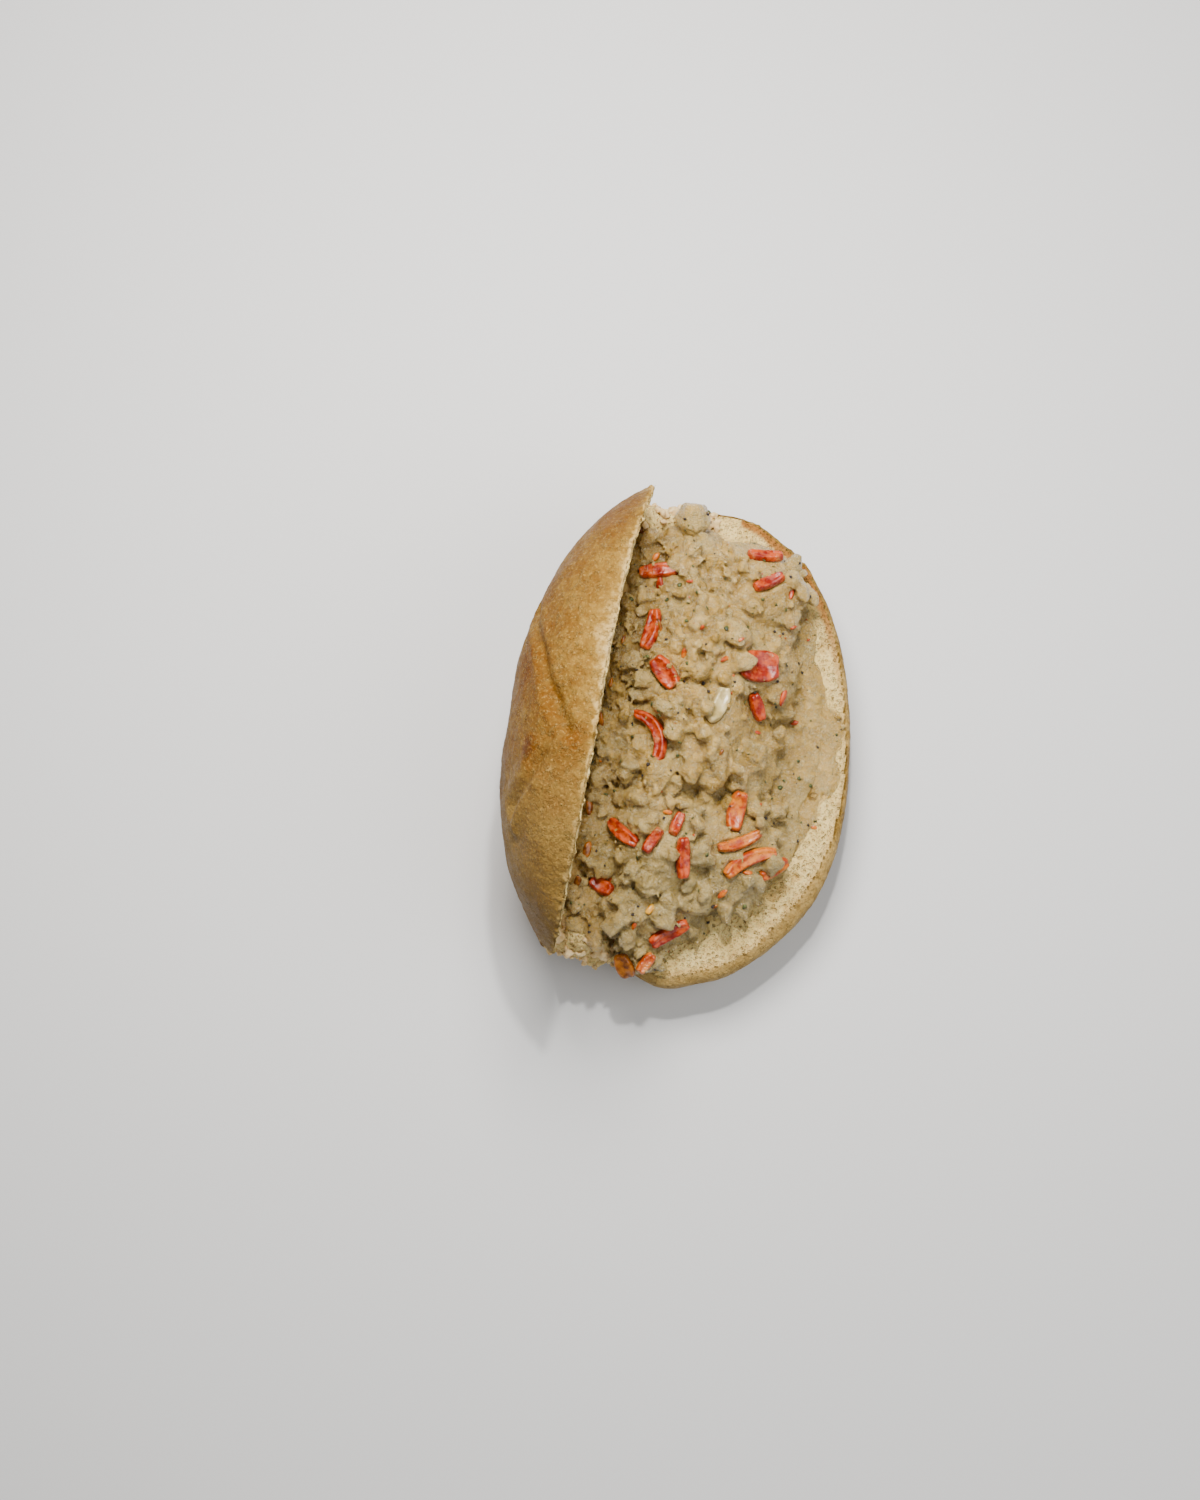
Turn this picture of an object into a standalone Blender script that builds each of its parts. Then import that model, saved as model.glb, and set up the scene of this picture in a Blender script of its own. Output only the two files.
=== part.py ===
"""Hinged bread roll, opened like a book and heaped with chopped turkey and peppers in cheese sauce.

Run it with blender --background --python part.py, or from Blender's text editor.
The roll lies along Y on its flat underside. Its hinge runs along Y on the -X side, and the lid stands
upright on that hinge, with its crust towards -X and its cut face towards the filling.
Lengths are written in millimetres and angles in degrees, and both are converted where they are used.
"""

import math
import random

import bmesh
import bpy
from mathutils import Matrix, Vector, noise
from mathutils.bvhtree import BVHTree

MM = 0.001
GAP = 0.4  # free space left between touching solids
ORIGIN = (0.7, -1.6)  # the spot on the floor, in the places below, that becomes the part's origin

# The roll.
BASE_CENTRE = (14.7, -2.6)
BASE_HALF_WIDTH = 42.0
HALF_LENGTH = 80.0
BASE_THICKNESS = 25.0
BASE_ROUNDNESS = 3.4  # superellipse power of the base's section: higher is boxier
BASE_FLAT_SHARE = 1.14  # how far the rounded underside would reach below the flat it rests on
HINGE_X = -29.6
LID_WIDTH = 79.0
LID_HALF_LENGTH = 77.5
LID_THICKNESS = 29.5
LID_CENTRE_Y = -2.0
LID_OPENING = 87.3  # from closed, about the hinge: the lid leans a little over the filling
LID_TIP_BEND = 7.2  # how far the lid's +Y tip leans over the filling
TIP_SHIFT = 9.0  # how far the roll's two ends lie towards the hinge side
HINGE_SIDE_POWER = 3.6  # superellipse power of the outline's hinge side, which is straighter than an oval
HINGE_BREAD_CENTRE = (-29.0, -2.5, 22.0)
HINGE_BREAD_RADII = (13.5, 75.0, 17.5)
CUT_RINGS = (0.0, 0.42, 0.66, 0.82, 0.92, 0.975, 1.0)  # rings of a cut face, as shares of its radius
CRUST_RINGS = 13
ROLL_SEGMENTS = 48

# Swellings and flats of the base's outline: (direction, spread, share of the radius).
OUTLINE_BUMPS = ((-27.0, 19.0, 0.06), (16.0, 20.0, -0.035), (-76.0, 12.0, -0.035), (70.0, 12.0, -0.012),
                 (-102.0, 9.0, -0.105))

# Creases of the lid's crust: start and end as (y, height over the cut face), width, depth.
CREASES = (
    ((33.0, 23.7), (13.0, 20.3), 2.6, 1.0),
    ((13.0, 21.5), (-7.0, 11.0), 2.4, 2.0),
    ((-1.0, 12.0), (-27.0, 25.0), 3.4, 1.5),
    ((-27.0, 25.0), (-48.0, 19.0), 4.0, 0.9),
)
# Dents and one swelling of the lid's crust: (y, height over the cut face), radius, depth.
DENTS = (
    ((2.0, 29.5), 9.0, 2.2),
    ((20.0, 26.5), 7.0, 1.3),
    ((-13.0, 27.5), 10.0, 2.2),
    ((-56.0, 21.0), 18.0, -2.2),
)

# Torn crumb at the two ends of the hinge: (x, y, z) and size along each axis.
TORN_CRUMB = (
    ((-22.0, -69.0, 27.0), (20.0, 13.0, 24.0)),
    ((-14.0, -69.5, 24.5), (14.0, 11.0, 15.0)),
    ((-5.0, -68.5, 24.0), (13.0, 12.0, 12.0)),
    ((-23.0, 66.5, 28.0), (19.0, 15.0, 25.0)),
    ((-15.0, 68.5, 26.0), (15.0, 11.0, 18.0)),
    ((-7.0, 67.5, 24.0), (13.0, 10.0, 12.0)),
)

# The heap of filling: its core is a union of lumps, (x, y, z) and radii.
CORE_LUMPS = (
    ((-8.0, 51.0, 27.0), (19.0, 20.0, 18.0)),
    ((12.0, 50.0, 25.0), (21.0, 18.0, 22.0)),
    ((0.0, 26.0, 26.0), (26.0, 26.0, 30.0)),
    ((12.0, 24.0, 25.0), (22.0, 24.0, 25.0)),
    ((3.0, 2.0, 26.0), (22.0, 26.0, 31.0)),
    ((12.0, -4.0, 25.0), (20.0, 28.0, 21.0)),
    ((-9.0, -8.0, 27.0), (17.0, 32.0, 23.0)),
    ((-2.0, -33.0, 26.0), (22.0, 24.0, 27.0)),
    ((15.0, -34.0, 25.0), (23.0, 22.0, 20.0)),
    ((-4.0, -53.0, 25.0), (21.0, 18.0, 18.0)),
    ((-19.5, 52.0, 28.0), (11.0, 15.0, 14.5)),
    ((-19.0, 26.0, 28.0), (12.0, 20.0, 20.0)),
    ((-19.5, -4.0, 28.0), (12.0, 22.0, 20.0)),
    ((-20.0, -33.0, 28.0), (11.5, 20.0, 17.0)),
    ((-19.5, -56.0, 27.0), (11.0, 12.0, 12.0)),
)
# The chunky sauce spread over the cut face beside the heap: (x, y) and radii in the plane.
SAUCE_POOLS = (((30.0, 5.0), (17.0, 34.0)), ((28.0, -24.0), (17.0, 24.0)), ((24.0, 36.0), (16.0, 25.0)))
SAUCE_DEPTH = 2.6
HEAP_FLOOR = 18.0  # the lumps end inside the bread, which is cut from them

# Large pieces of turkey that stand out: (x, y, z), size along each axis, turn about Z.
LARGE_TURKEY = (
    ((-8.6, 70.0, 39.0), (12.5, 14.0, 15.0), 10.0),
    ((0.0, 10.0, 57.0), (13.0, 11.0, 9.0), 25.0),
    ((-6.0, -14.0, 52.0), (13.0, 12.0, 9.0), 60.0),
    ((11.0, 33.0, 52.5), (14.0, 10.0, 9.0), -40.0),
    ((14.0, -52.0, 38.5), (12.0, 10.0, 9.0), 15.0),
    ((33.0, -18.0, 29.0), (13.0, 9.0, 6.0), 70.0),
    ((-3.0, -71.5, 30.0), (18.0, 13.0, 11.0), 10.0),
)
CHUNK_SEED = 41
CHUNK_SPACING = 9.7
CHUNK_SIZE = (7.0, 11.5)
CHUNK_POINTS = 10

# Strips of pepper: (x, y), length, width, turn about Z, curl along the length, sweep in the plane.
RED_PEPPERS = (
    ((-16.5, 51.0), 12.5, 4.4, 14.0, -30.0, 0.0),
    ((-15.5, 30.5), 13.5, 4.6, 82.0, 25.0, 20.0),
    ((-9.0, 17.6), 11.0, 6.2, -43.0, 40.0, 0.0),
    ((-6.6, -2.4), 23.0, 3.8, -66.0, 20.0, -125.0),
    ((20.0, 25.0), 12.5, 10.0, 10.0, 45.0, 0.0),
    ((21.5, 13.0), 9.0, 4.0, -66.0, 20.0, 0.0),
    ((16.1, 62.4), 11.4, 3.4, 5.0, 20.0, 0.0),
    ((18.5, 53.0), 10.5, 3.6, 34.0, 30.0, 0.0),
    ((-13.6, -35.0), 12.5, 4.2, -38.0, -40.0, 15.0),
    ((-3.8, -36.0), 8.5, 3.4, 65.0, 30.0, 0.0),
    ((2.8, -29.5), 7.5, 3.4, 78.0, 50.0, 0.0),
    ((6.5, -39.5), 13.0, 4.2, 96.0, 20.0, 0.0),
    ((-17.0, -52.0), 7.8, 4.8, -23.0, 30.0, 0.0),
    ((6.4, -62.8), 13.4, 4.6, 39.0, 25.0, 0.0),
)
ORANGE_PEPPERS = (
    ((20.2, -20.6), 12.0, 5.4, -94.0, 60.0, 10.0),
    ((27.4, -35.5), 19.0, 4.2, 38.0, 25.0, -40.0),
    ((23.6, -31.2), 15.0, 3.4, 31.0, 20.0, 30.0),
    ((35.6, -36.5), 12.0, 4.4, 53.0, 20.0, 0.0),
    ((0.9, -73.4), 7.0, 3.6, 60.0, 20.0, 0.0),
)
ONIONS = (((9.6, 9.5), 12.0, 5.0, -107.0, 40.0, -50.0), ((-5.8, -75.6), 8.5, 5.6, -42.0, -30.0, 0.0))
STRIP_THICKNESS = 2.4
STRIP_SUNK = 0.9  # how deep a strip is pressed into the filling

TURKEY_COLOUR = (0.60, 0.50, 0.34)
CRUST_COLOUR = (0.55, 0.32, 0.12)
RED_COLOUR = (0.50, 0.06, 0.02)
ORANGE_COLOUR = (0.60, 0.17, 0.04)
ONION_COLOUR = (0.55, 0.42, 0.20)


def clear_scene():
    """Removes every object and collection of the startup scene."""
    for thing in list(bpy.data.objects):
        bpy.data.objects.remove(thing, do_unlink=True)
    for group in list(bpy.data.collections):
        bpy.data.collections.remove(group)


def new_collection(name):
    group = bpy.data.collections.new(name)
    bpy.context.scene.collection.children.link(group)
    return group


def principled(name, colour, roughness):
    """A plain dielectric material of that colour."""
    made = bpy.data.materials.new(name)
    made.use_nodes = True
    shader = made.node_tree.nodes["Principled BSDF"]
    shader.inputs["Base Color"].default_value = (*colour, 1.0)
    shader.inputs["Roughness"].default_value = roughness
    shader.inputs["Metallic"].default_value = 0.0
    made.diffuse_color = (*colour, 1.0)
    return made


def object_of(name, bm, group, material=None):
    """Turns a bmesh into an object of triangles in that collection, with its faces turned outwards."""
    bmesh.ops.recalc_face_normals(bm, faces=bm.faces)
    if bm.calc_volume(signed=True) < 0.0:
        bmesh.ops.reverse_faces(bm, faces=bm.faces)
    bmesh.ops.triangulate(bm, faces=bm.faces)
    mesh = bpy.data.meshes.new(name)
    bm.to_mesh(mesh)
    bm.free()
    made = bpy.data.objects.new(name, mesh)
    group.objects.link(made)
    if material:
        mesh.materials.append(material)
    return made


def bump(value, centre, spread):
    """A smooth bump of height 1 at centre."""
    return math.exp(-(((value - centre) / spread) ** 2))


def rough(x, y, z, size, seed=0.0):
    """Smooth noise from about -1 to 1 whose features are about size across."""
    return noise.noise(Vector((x / size + seed, y / size - seed, z / size + 3.0 * seed)))


def mix(a, b, share):
    return a + (b - a) * share


# ---- The roll ------------------------------------------------------------------------------------


def outline(angle, half_width, half_length, shift):
    """A point of the roll's outline, seen from above and from the middle of the half."""
    swell = 1.0 + sum(share * bump(math.degrees(angle), at, spread) for at, spread, share in OUTLINE_BUMPS)
    power = HINGE_SIDE_POWER if math.cos(angle) < 0.0 else 2.0
    across = math.copysign(abs(math.cos(angle)) ** (2.0 / power), math.cos(angle))
    along = math.copysign(abs(math.sin(angle)) ** (2.0 / power), math.sin(angle))
    return half_width * swell * across - shift * (1.0 - abs(across) ** 2), half_length * swell * along


def base_point(angle, ring):
    """A point of the lower half: its cut face for the first rings, then its side and flat underside."""
    last = len(CUT_RINGS) - 1
    share = CUT_RINGS[min(ring, last)]
    drop = 0.0
    if ring > last:
        turn = min(math.radians(90.0) * (ring - last) / CRUST_RINGS, math.radians(89.999))
        share = math.cos(turn) ** (2.0 / BASE_ROUNDNESS)
        share += (0.035 + 0.045 * bump(math.degrees(angle), -45.0, 28.0)) * math.sin(2.0 * turn) ** 2
        drop = BASE_THICKNESS * BASE_FLAT_SHARE * math.sin(turn) ** (2.0 / BASE_ROUNDNESS)
    x, y = outline(angle, BASE_HALF_WIDTH, HALF_LENGTH, TIP_SHIFT)
    x = BASE_CENTRE[0] + share * x
    y = BASE_CENTRE[1] + share * y
    if ring > last:
        return x, y, max(0.0, BASE_THICKNESS - drop)
    relief = 0.9 * rough(x, y, 0.0, 22.0) + 0.5 * rough(x, y, 0.0, 8.0, 5.0)
    edge = 1.0 - share**8
    return x, y, BASE_THICKNESS + relief * edge - 0.8 * edge * share


def crust_dent(y, height):
    """How deep the lid's crust is pressed in at that place."""
    depth = 0.0
    for (y0, h0), (y1, h1), width, most in CREASES:
        along = Vector((y1 - y0, h1 - h0))
        from_start = Vector((y - y0, height - h0))
        share = max(0.0, min(1.0, from_start.dot(along) / along.length_squared))
        depth += most * bump((from_start - along * share).length, 0.0, width)
    for (y0, h0), radius, most in DENTS:
        depth += most * bump(math.hypot(y - y0, height - h0), 0.0, radius)
    return depth


def lid_point(angle, ring):
    """A point of the lid as it lies closed, with its hinge on the Y axis and its cut face at height 0."""
    last = len(CUT_RINGS) - 1
    share = CUT_RINGS[min(ring, last)]
    endways = math.sin(angle) ** 2
    if ring > last:
        share = max(0.0, math.cos(math.radians(90.0) * (ring - last) / CRUST_RINGS))
    shift = TIP_SHIFT * LID_WIDTH / (2.0 * BASE_HALF_WIDTH)
    across, along = outline(angle, LID_WIDTH / 2.0, LID_HALF_LENGTH, shift)
    x = LID_WIDTH / 2.0 + share * across
    y = LID_CENTRE_Y + share * along
    bend = LID_TIP_BEND * max(0.0, y / LID_HALF_LENGTH) ** 3 * share**2 * min(1.0, 2.0 * x / LID_WIDTH)
    if ring <= last:
        torn = 0.9 * rough(x, y, 9.0, 20.0) + 0.5 * rough(x, y, 3.0, 7.0)
        return x, y, 1.4 * (1.0 - share**2) + (1.0 - share**8) * torn - bend
    power, root = mix(2.4, 1.75, endways), mix(0.5, 0.72, endways)
    height = LID_THICKNESS * (1.0 - share**power) ** root
    height += 0.8 * rough(x, y, height, 24.0, 2.0) * min(1.0, height / 8.0)
    sunk = crust_dent(y, height) if x > LID_WIDTH * 0.3 else 0.0
    side = min(1.0, height / LID_THICKNESS)
    return x - sunk * (1.0 - side) * math.cos(angle), y, height - sunk * side - bend


def half_roll(name, point, group, upside_down):
    """One half of the roll from a UV sphere, whose rings become the cut face, the side and the crown."""
    rings = len(CUT_RINGS) - 1 + CRUST_RINGS
    bm = bmesh.new()
    bmesh.ops.create_uvsphere(bm, u_segments=ROLL_SEGMENTS, v_segments=rings, radius=1.0)
    for vertex in bm.verts:
        polar = math.acos(max(-1.0, min(1.0, vertex.co.z)))
        ring = round(polar / math.pi * rings)
        angle = math.atan2(vertex.co.y, vertex.co.x)
        vertex.co = Vector(point(angle, ring)) * MM
    made = object_of(name, bm, group)
    if upside_down:
        made.data.transform(Matrix.Translation(Vector((HINGE_X, 0.0, BASE_THICKNESS)) * MM)
                            @ Matrix.Rotation(-math.radians(LID_OPENING), 4, "Y"))
    return made


def lumpy_ball(name, centre, radii, group, segments, rings, unevenness, seed, boxy=2.0, floor=0.0):
    """A closed uneven ball with smooth noise on it, boxier along Y if asked and flat on its floor."""
    bm = bmesh.new()
    bmesh.ops.create_uvsphere(bm, u_segments=segments, v_segments=rings, radius=1.0)
    for vertex in bm.verts:
        x, y, z = vertex.co
        around = math.hypot(x, z)
        squeeze = (1.0 - abs(y) ** boxy) ** 0.5 / around if around > 1e-6 else 0.0
        swell = 1.0 + unevenness * rough(x, y, z, 0.6, seed)
        vertex.co = Vector((x * squeeze * radii[0], y * radii[1], z * squeeze * radii[2])) * swell * MM
        vertex.co += Vector(centre) * MM
        vertex.co.z = max(vertex.co.z, (floor + 0.02 * vertex.index % 0.5) * MM)
    return object_of(name, bm, group)


def hull_piece(name, centre, size, turn, draw, group, points=CHUNK_POINTS):
    """An angular torn piece: the convex hull of points spread unevenly over an ellipsoid."""
    bm = bmesh.new()
    for index in range(points):
        z = 1.0 - 2.0 * (index + 0.5) / points
        around = index * math.pi * (3.0 - math.sqrt(5.0)) + draw.uniform(-0.5, 0.5)
        ring = math.sqrt(1.0 - z * z)
        reach = draw.uniform(0.82, 1.15)
        place = (ring * math.cos(around) * size[0], ring * math.sin(around) * size[1], z * size[2])
        bm.verts.new(Vector(place) * (reach * 0.5 * MM))
    hull = bmesh.ops.convex_hull(bm, input=bm.verts)
    loose = [item for item in hull["geom_interior"] if isinstance(item, bmesh.types.BMVert)]
    bmesh.ops.delete(bm, geom=loose, context="VERTS")
    made = object_of(name, bm, group)
    made.data.transform(Matrix.Translation(Vector(centre) * MM) @ Matrix.Rotation(math.radians(turn), 4, "Z"))
    return made


def apply_boolean(target, operation, other):
    """Applies one Boolean of a mesh or of a whole collection to the target."""
    modifier = target.modifiers.new(operation.lower(), "BOOLEAN")
    modifier.operation = operation
    modifier.solver = "EXACT"
    if isinstance(other, bpy.types.Collection):
        modifier.operand_type = "COLLECTION"
        modifier.collection = other
    else:
        modifier.object = other
    graph = bpy.context.evaluated_depsgraph_get()
    result = bpy.data.meshes.new_from_object(target.evaluated_get(graph))
    target.modifiers.clear()
    bm = bmesh.new()
    bm.from_mesh(result)
    bmesh.ops.triangulate(bm, faces=bm.faces)
    bm.to_mesh(result)
    bm.free()
    target.data = result


def drop_crumbs(thing):
    """Removes slivers that the cuts left loose, and keeps the largest body."""
    bm = bmesh.new()
    bm.from_mesh(thing.data)
    left = set(bm.verts)
    bodies = []
    while left:
        body = {left.pop()}
        edge = set(body)
        while edge:
            edge = {other for vertex in edge for link in vertex.link_edges for other in link.verts} & left
            body |= edge
            left -= edge
        bodies.append(body)
    bodies.sort(key=len)
    bmesh.ops.delete(bm, geom=[vertex for body in bodies[:-1] for vertex in body], context="VERTS")
    bm.to_mesh(thing.data)
    bm.free()


def empty_collection(group):
    for thing in list(group.objects):
        bpy.data.objects.remove(thing, do_unlink=True)


def roll_pieces(group, growth=0.0):
    """Base, upright lid, the uncut bread of the hinge and its torn ends, grown by so much on every side."""
    made = [half_roll("base", base_point, group, False), half_roll("lid", lid_point, group, True)]
    made.append(lumpy_ball("hinge", HINGE_BREAD_CENTRE, HINGE_BREAD_RADII, group, 20, 14, 0.06, 1.0, 4.0))
    draw = random.Random(7)
    for place, size in TORN_CRUMB:
        made.append(hull_piece("crumb", place, size, draw.uniform(-20.0, 20.0), draw, group, 22))
    for piece in made:
        bm = bmesh.new()
        bm.from_mesh(piece.data)
        bm.normal_update()
        grown = [vertex.co + vertex.normal * (growth * MM) for vertex in bm.verts]
        for vertex, place in zip(bm.verts, grown):
            vertex.co = place
        bm.to_mesh(piece.data)
        bm.free()


def joined_roll(name, group, growth=0.0):
    """The hinged roll as one solid, grown by so much on every side."""
    roll_pieces(group, growth)
    roll, *others = group.objects
    roll.name = name
    joined = new_collection("others")
    for piece in others:
        group.objects.unlink(piece)
        joined.objects.link(piece)
    apply_boolean(roll, "UNION", joined)
    empty_collection(joined)
    bpy.data.collections.remove(joined)
    return roll


# ---- The filling ---------------------------------------------------------------------------------


def heap_height(x, y):
    """Height of the heap's core over the floor at that place, or 0 beside it."""
    height = 0.0
    for (x0, y0, z0), (rx, ry, rz) in CORE_LUMPS:
        share = ((x - x0) / rx) ** 2 + ((y - y0) / ry) ** 2
        if share < 1.0:
            height = max(height, z0 + rz * math.sqrt(1.0 - share))
    return height


def chunk_places(draw):
    """Uneven rows of places on the heap's core, clear of the strips and of the large pieces."""
    taken = [(x, y, 0.5 * length) for (x, y), length, *_ in RED_PEPPERS + ORANGE_PEPPERS + ONIONS]
    taken += [(x, y, 0.5 * size[0]) for (x, y, _), size, _ in LARGE_TURKEY]
    rows = int(150.0 / (0.87 * CHUNK_SPACING))
    places = []
    for row in range(rows):
        for column in range(8):
            x = -24.0 + (column + 0.5 * (row % 2)) * CHUNK_SPACING + draw.uniform(-0.28, 0.28) * CHUNK_SPACING
            y = -74.0 + row * 0.87 * CHUNK_SPACING + draw.uniform(-0.28, 0.28) * CHUNK_SPACING
            clear = all(math.hypot(x - x0, y - y0) > 2.0 + 0.8 * radius for x0, y0, radius in taken)
            if clear and heap_height(x, y) > 0.0:
                places.append((x, y, heap_height(x, y)))
    return places


def build_filling(group, tools):
    """Core lumps, sauce pools and chopped turkey joined into one solid that rests on the bread."""
    filling, *others = CORE_LUMPS
    filling = lumpy_ball("filling", *filling, group, 14, 10, 0.12, 0.0, 2.0, HEAP_FLOOR)
    for index, (centre, radii) in enumerate(others):
        lumpy_ball("lump", centre, radii, tools, 14, 10, 0.12, 1.7 * index, 2.0, HEAP_FLOOR)
    for (x, y), (rx, ry) in SAUCE_POOLS:
        lumpy_ball("pool", (x, y, BASE_THICKNESS - 1.5), (rx, ry, SAUCE_DEPTH + 1.5), tools, 26, 6, 0.07, x)
    draw = random.Random(CHUNK_SEED)
    for centre, size, turn in LARGE_TURKEY:
        hull_piece("turkey", centre, size, turn, draw, tools, 18)
    for x, y, z in chunk_places(draw):
        size = [draw.uniform(*CHUNK_SIZE), draw.uniform(*CHUNK_SIZE), 0.85 * draw.uniform(*CHUNK_SIZE)]
        hull_piece("turkey", (x, y, z - 0.08 * size[2]), size, draw.uniform(0.0, 180.0), draw, tools)
    apply_boolean(filling, "UNION", tools)
    empty_collection(tools)
    swollen = joined_roll("swollen", tools, GAP)
    apply_boolean(filling, "DIFFERENCE", swollen)
    empty_collection(tools)
    filling.data.materials.clear()
    filling.data.materials.append(principled("turkey_in_sauce", TURKEY_COLOUR, 0.4))
    return filling


# ---- Strips of pepper and onion ------------------------------------------------------------------


def strip_frame(heap, bread, place, length, width, turn):
    """Where a strip lies on the heap: the plane through the heights found under it, as a matrix."""
    along = Vector((math.cos(math.radians(turn)), math.sin(math.radians(turn)), 0.0))
    across = Vector((-along.y, along.x, 0.0))
    middle = Vector((*place, 0.0)) * MM

    def ground(share_along, share_across):
        start = middle + along * (share_along * length * MM) + across * (share_across * width * MM)
        above = start + Vector((0.0, 0.0, 0.075))
        on_heap = heap.ray_cast(above, Vector((0.0, 0.0, -1.0)))[0]
        on_bread = bread.ray_cast(above, Vector((0.0, 0.0, -1.0)))[0]
        bread_height = (on_bread.z if on_bread else 0.0) + (STRIP_SUNK + 2.0 * GAP) * MM
        start.z = max(on_heap.z if on_heap else BASE_THICKNESS * MM, bread_height)
        return start

    run = ground(0.4, 0.0) - ground(-0.4, 0.0)
    side = ground(0.0, 0.6) - ground(0.0, -0.6)
    up = (run.cross(side).normalized() + Vector((0.0, 0.0, 0.5))).normalized()
    run = (run - up * run.dot(up)).normalized()
    spots = [ground(a, b) for a in (-0.4, 0.0, 0.4) for b in (-0.3, 0.3)]
    reached = [spot.dot(up) for spot in spots]
    base = mix(sum(reached) / len(reached), max(reached), 0.5)
    centre = ground(0.0, 0.0)
    centre += up * (base - centre.dot(up) + (0.5 * STRIP_THICKNESS - STRIP_SUNK) * MM)
    return Matrix.Translation(centre) @ Matrix((run, up.cross(run), up)).transposed().to_4x4()


def strip(name, frame, length, width, curl, sweep, group, extra=0.0, material=None):
    """A strip of flesh of even thickness, curled along its length and swept sideways."""
    length, width, thickness = length + 2.0 * extra, width + 2.0 * extra, STRIP_THICKNESS + 2.0 * extra
    bm = bmesh.new()
    bmesh.ops.create_grid(bm, x_segments=5, y_segments=2, size=0.5)
    for vertex in bm.verts:
        share, side = vertex.co.x, vertex.co.y
        taper = 1.0 - 0.35 * (2.0 * abs(share)) ** 3
        turn = math.radians(sweep) * share
        reach = length / math.radians(sweep) if sweep else 0.0
        away = side * width * taper
        x = (reach * math.sin(turn) if sweep else share * length) - away * math.sin(turn)
        y = (reach * (1.0 - math.cos(turn)) if sweep else 0.0) + away * math.cos(turn)
        lift = math.radians(curl) * (share * share - 0.083) * length * 0.5
        lift += 0.12 * width * (2.0 * side) ** 2
        vertex.co = Vector((x, y, lift)) * MM
    made = object_of(name, bm, group, material)
    modifier = made.modifiers.new("flesh", "SOLIDIFY")
    modifier.thickness = thickness * MM
    modifier.offset = 0.0
    graph = bpy.context.evaluated_depsgraph_get()
    made.data = bpy.data.meshes.new_from_object(made.evaluated_get(graph))
    made.modifiers.clear()
    made.data.transform(frame)
    return made


def build_strips(group, tools, filling, roll):
    """Every strip of pepper and onion on the heap, each in its own shallow bed in the filling."""
    graph = bpy.context.evaluated_depsgraph_get()
    heap, bread = BVHTree.FromObject(filling, graph), BVHTree.FromObject(roll, graph)
    kinds = (("red_pepper", RED_PEPPERS, RED_COLOUR), ("orange_pepper", ORANGE_PEPPERS, ORANGE_COLOUR),
             ("onion", ONIONS, ONION_COLOUR))
    for kind, strips, colour in kinds:
        material = principled(kind, colour, 0.3)
        for index, (place, length, width, turn, curl, sweep) in enumerate(strips, 1):
            frame = strip_frame(heap, bread, place, length, width, turn)
            strip(f"{kind}_{index:02d}", frame, length, width, curl, sweep, group, 0.0, material)
            strip("bed", frame, length, width, curl, sweep, tools, GAP)
    apply_boolean(filling, "DIFFERENCE", tools)
    drop_crumbs(filling)
    empty_collection(tools)


def main():
    clear_scene()
    parts = new_collection("turkey_cheesesteak")
    tools = new_collection("pieces_to_join")
    roll = joined_roll("roll", tools)
    tools.objects.unlink(roll)
    parts.objects.link(roll)
    roll.data.materials.append(principled("bread", CRUST_COLOUR, 0.6))
    filling = build_filling(parts, tools)
    build_strips(parts, tools, filling, roll)
    for piece in parts.objects:
        piece.data.transform(Matrix.Translation(Vector((-ORIGIN[0], -ORIGIN[1], 0.0)) * MM))


main()
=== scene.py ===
"""The looks of the turkey cheesesteak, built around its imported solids.

The bread is remeshed from its solid and gets its crust, its torn rim and the pores of its crumb.
The filling is remeshed from its solid with many small pieces of turkey and drops of sauce on it.
Lengths are written in millimetres, and turned into metres where a mesh is made.
"""

import math
import random

import bmesh
import bpy
import numpy as np
from mathutils import Matrix, Vector, noise
from mathutils.bvhtree import BVHTree
from mathutils.kdtree import KDTree


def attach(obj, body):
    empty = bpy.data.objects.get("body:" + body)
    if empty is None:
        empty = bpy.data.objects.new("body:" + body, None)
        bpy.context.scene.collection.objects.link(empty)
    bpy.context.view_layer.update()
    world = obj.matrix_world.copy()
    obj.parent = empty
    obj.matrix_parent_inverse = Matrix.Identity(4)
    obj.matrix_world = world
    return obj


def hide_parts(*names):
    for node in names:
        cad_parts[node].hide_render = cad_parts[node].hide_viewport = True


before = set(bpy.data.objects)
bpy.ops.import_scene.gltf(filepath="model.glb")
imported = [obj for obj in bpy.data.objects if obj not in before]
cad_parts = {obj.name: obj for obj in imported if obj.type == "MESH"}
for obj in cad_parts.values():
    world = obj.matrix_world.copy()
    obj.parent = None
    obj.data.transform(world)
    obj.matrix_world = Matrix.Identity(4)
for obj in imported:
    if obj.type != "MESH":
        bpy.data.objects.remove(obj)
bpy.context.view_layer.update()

MM = 0.001

# Places that the solids share: the height of the base's cut face, the x of the lid's cut face at that
# height, how far the lid leans over the filling as a share of the height above it, the height up to which
# the fold behind the filling shows crumb, and how far from the middle of the roll its hinge is torn.
CUT_HEIGHT = 25.0
LID_FACE = -30.3
LID_LEAN = 0.047
FOLD_TOP = 44.0
TORN_FROM = 58.0

# The bread.
BREAD_VOXEL = 0.7
CUT_BAND = 3.2  # how far the base's cut face rises and falls about its height
RIM_BAND = 1.4  # how far the crust's colour reaches over the edge of a cut face
EDGE_REACH = 12.0  # how far from that edge its distance is measured
DRY_FROM = 67.0  # beyond this distance from the middle the base's cut face is dry crumb
TUFTS = 420
TUFT_SIZES = (1.6, 5.0)
PATCH_TUFTS = 40
PATCH_TUFT_SIZES = (1.2, 3.6)
TUFT_VOXEL = 0.42

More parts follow.
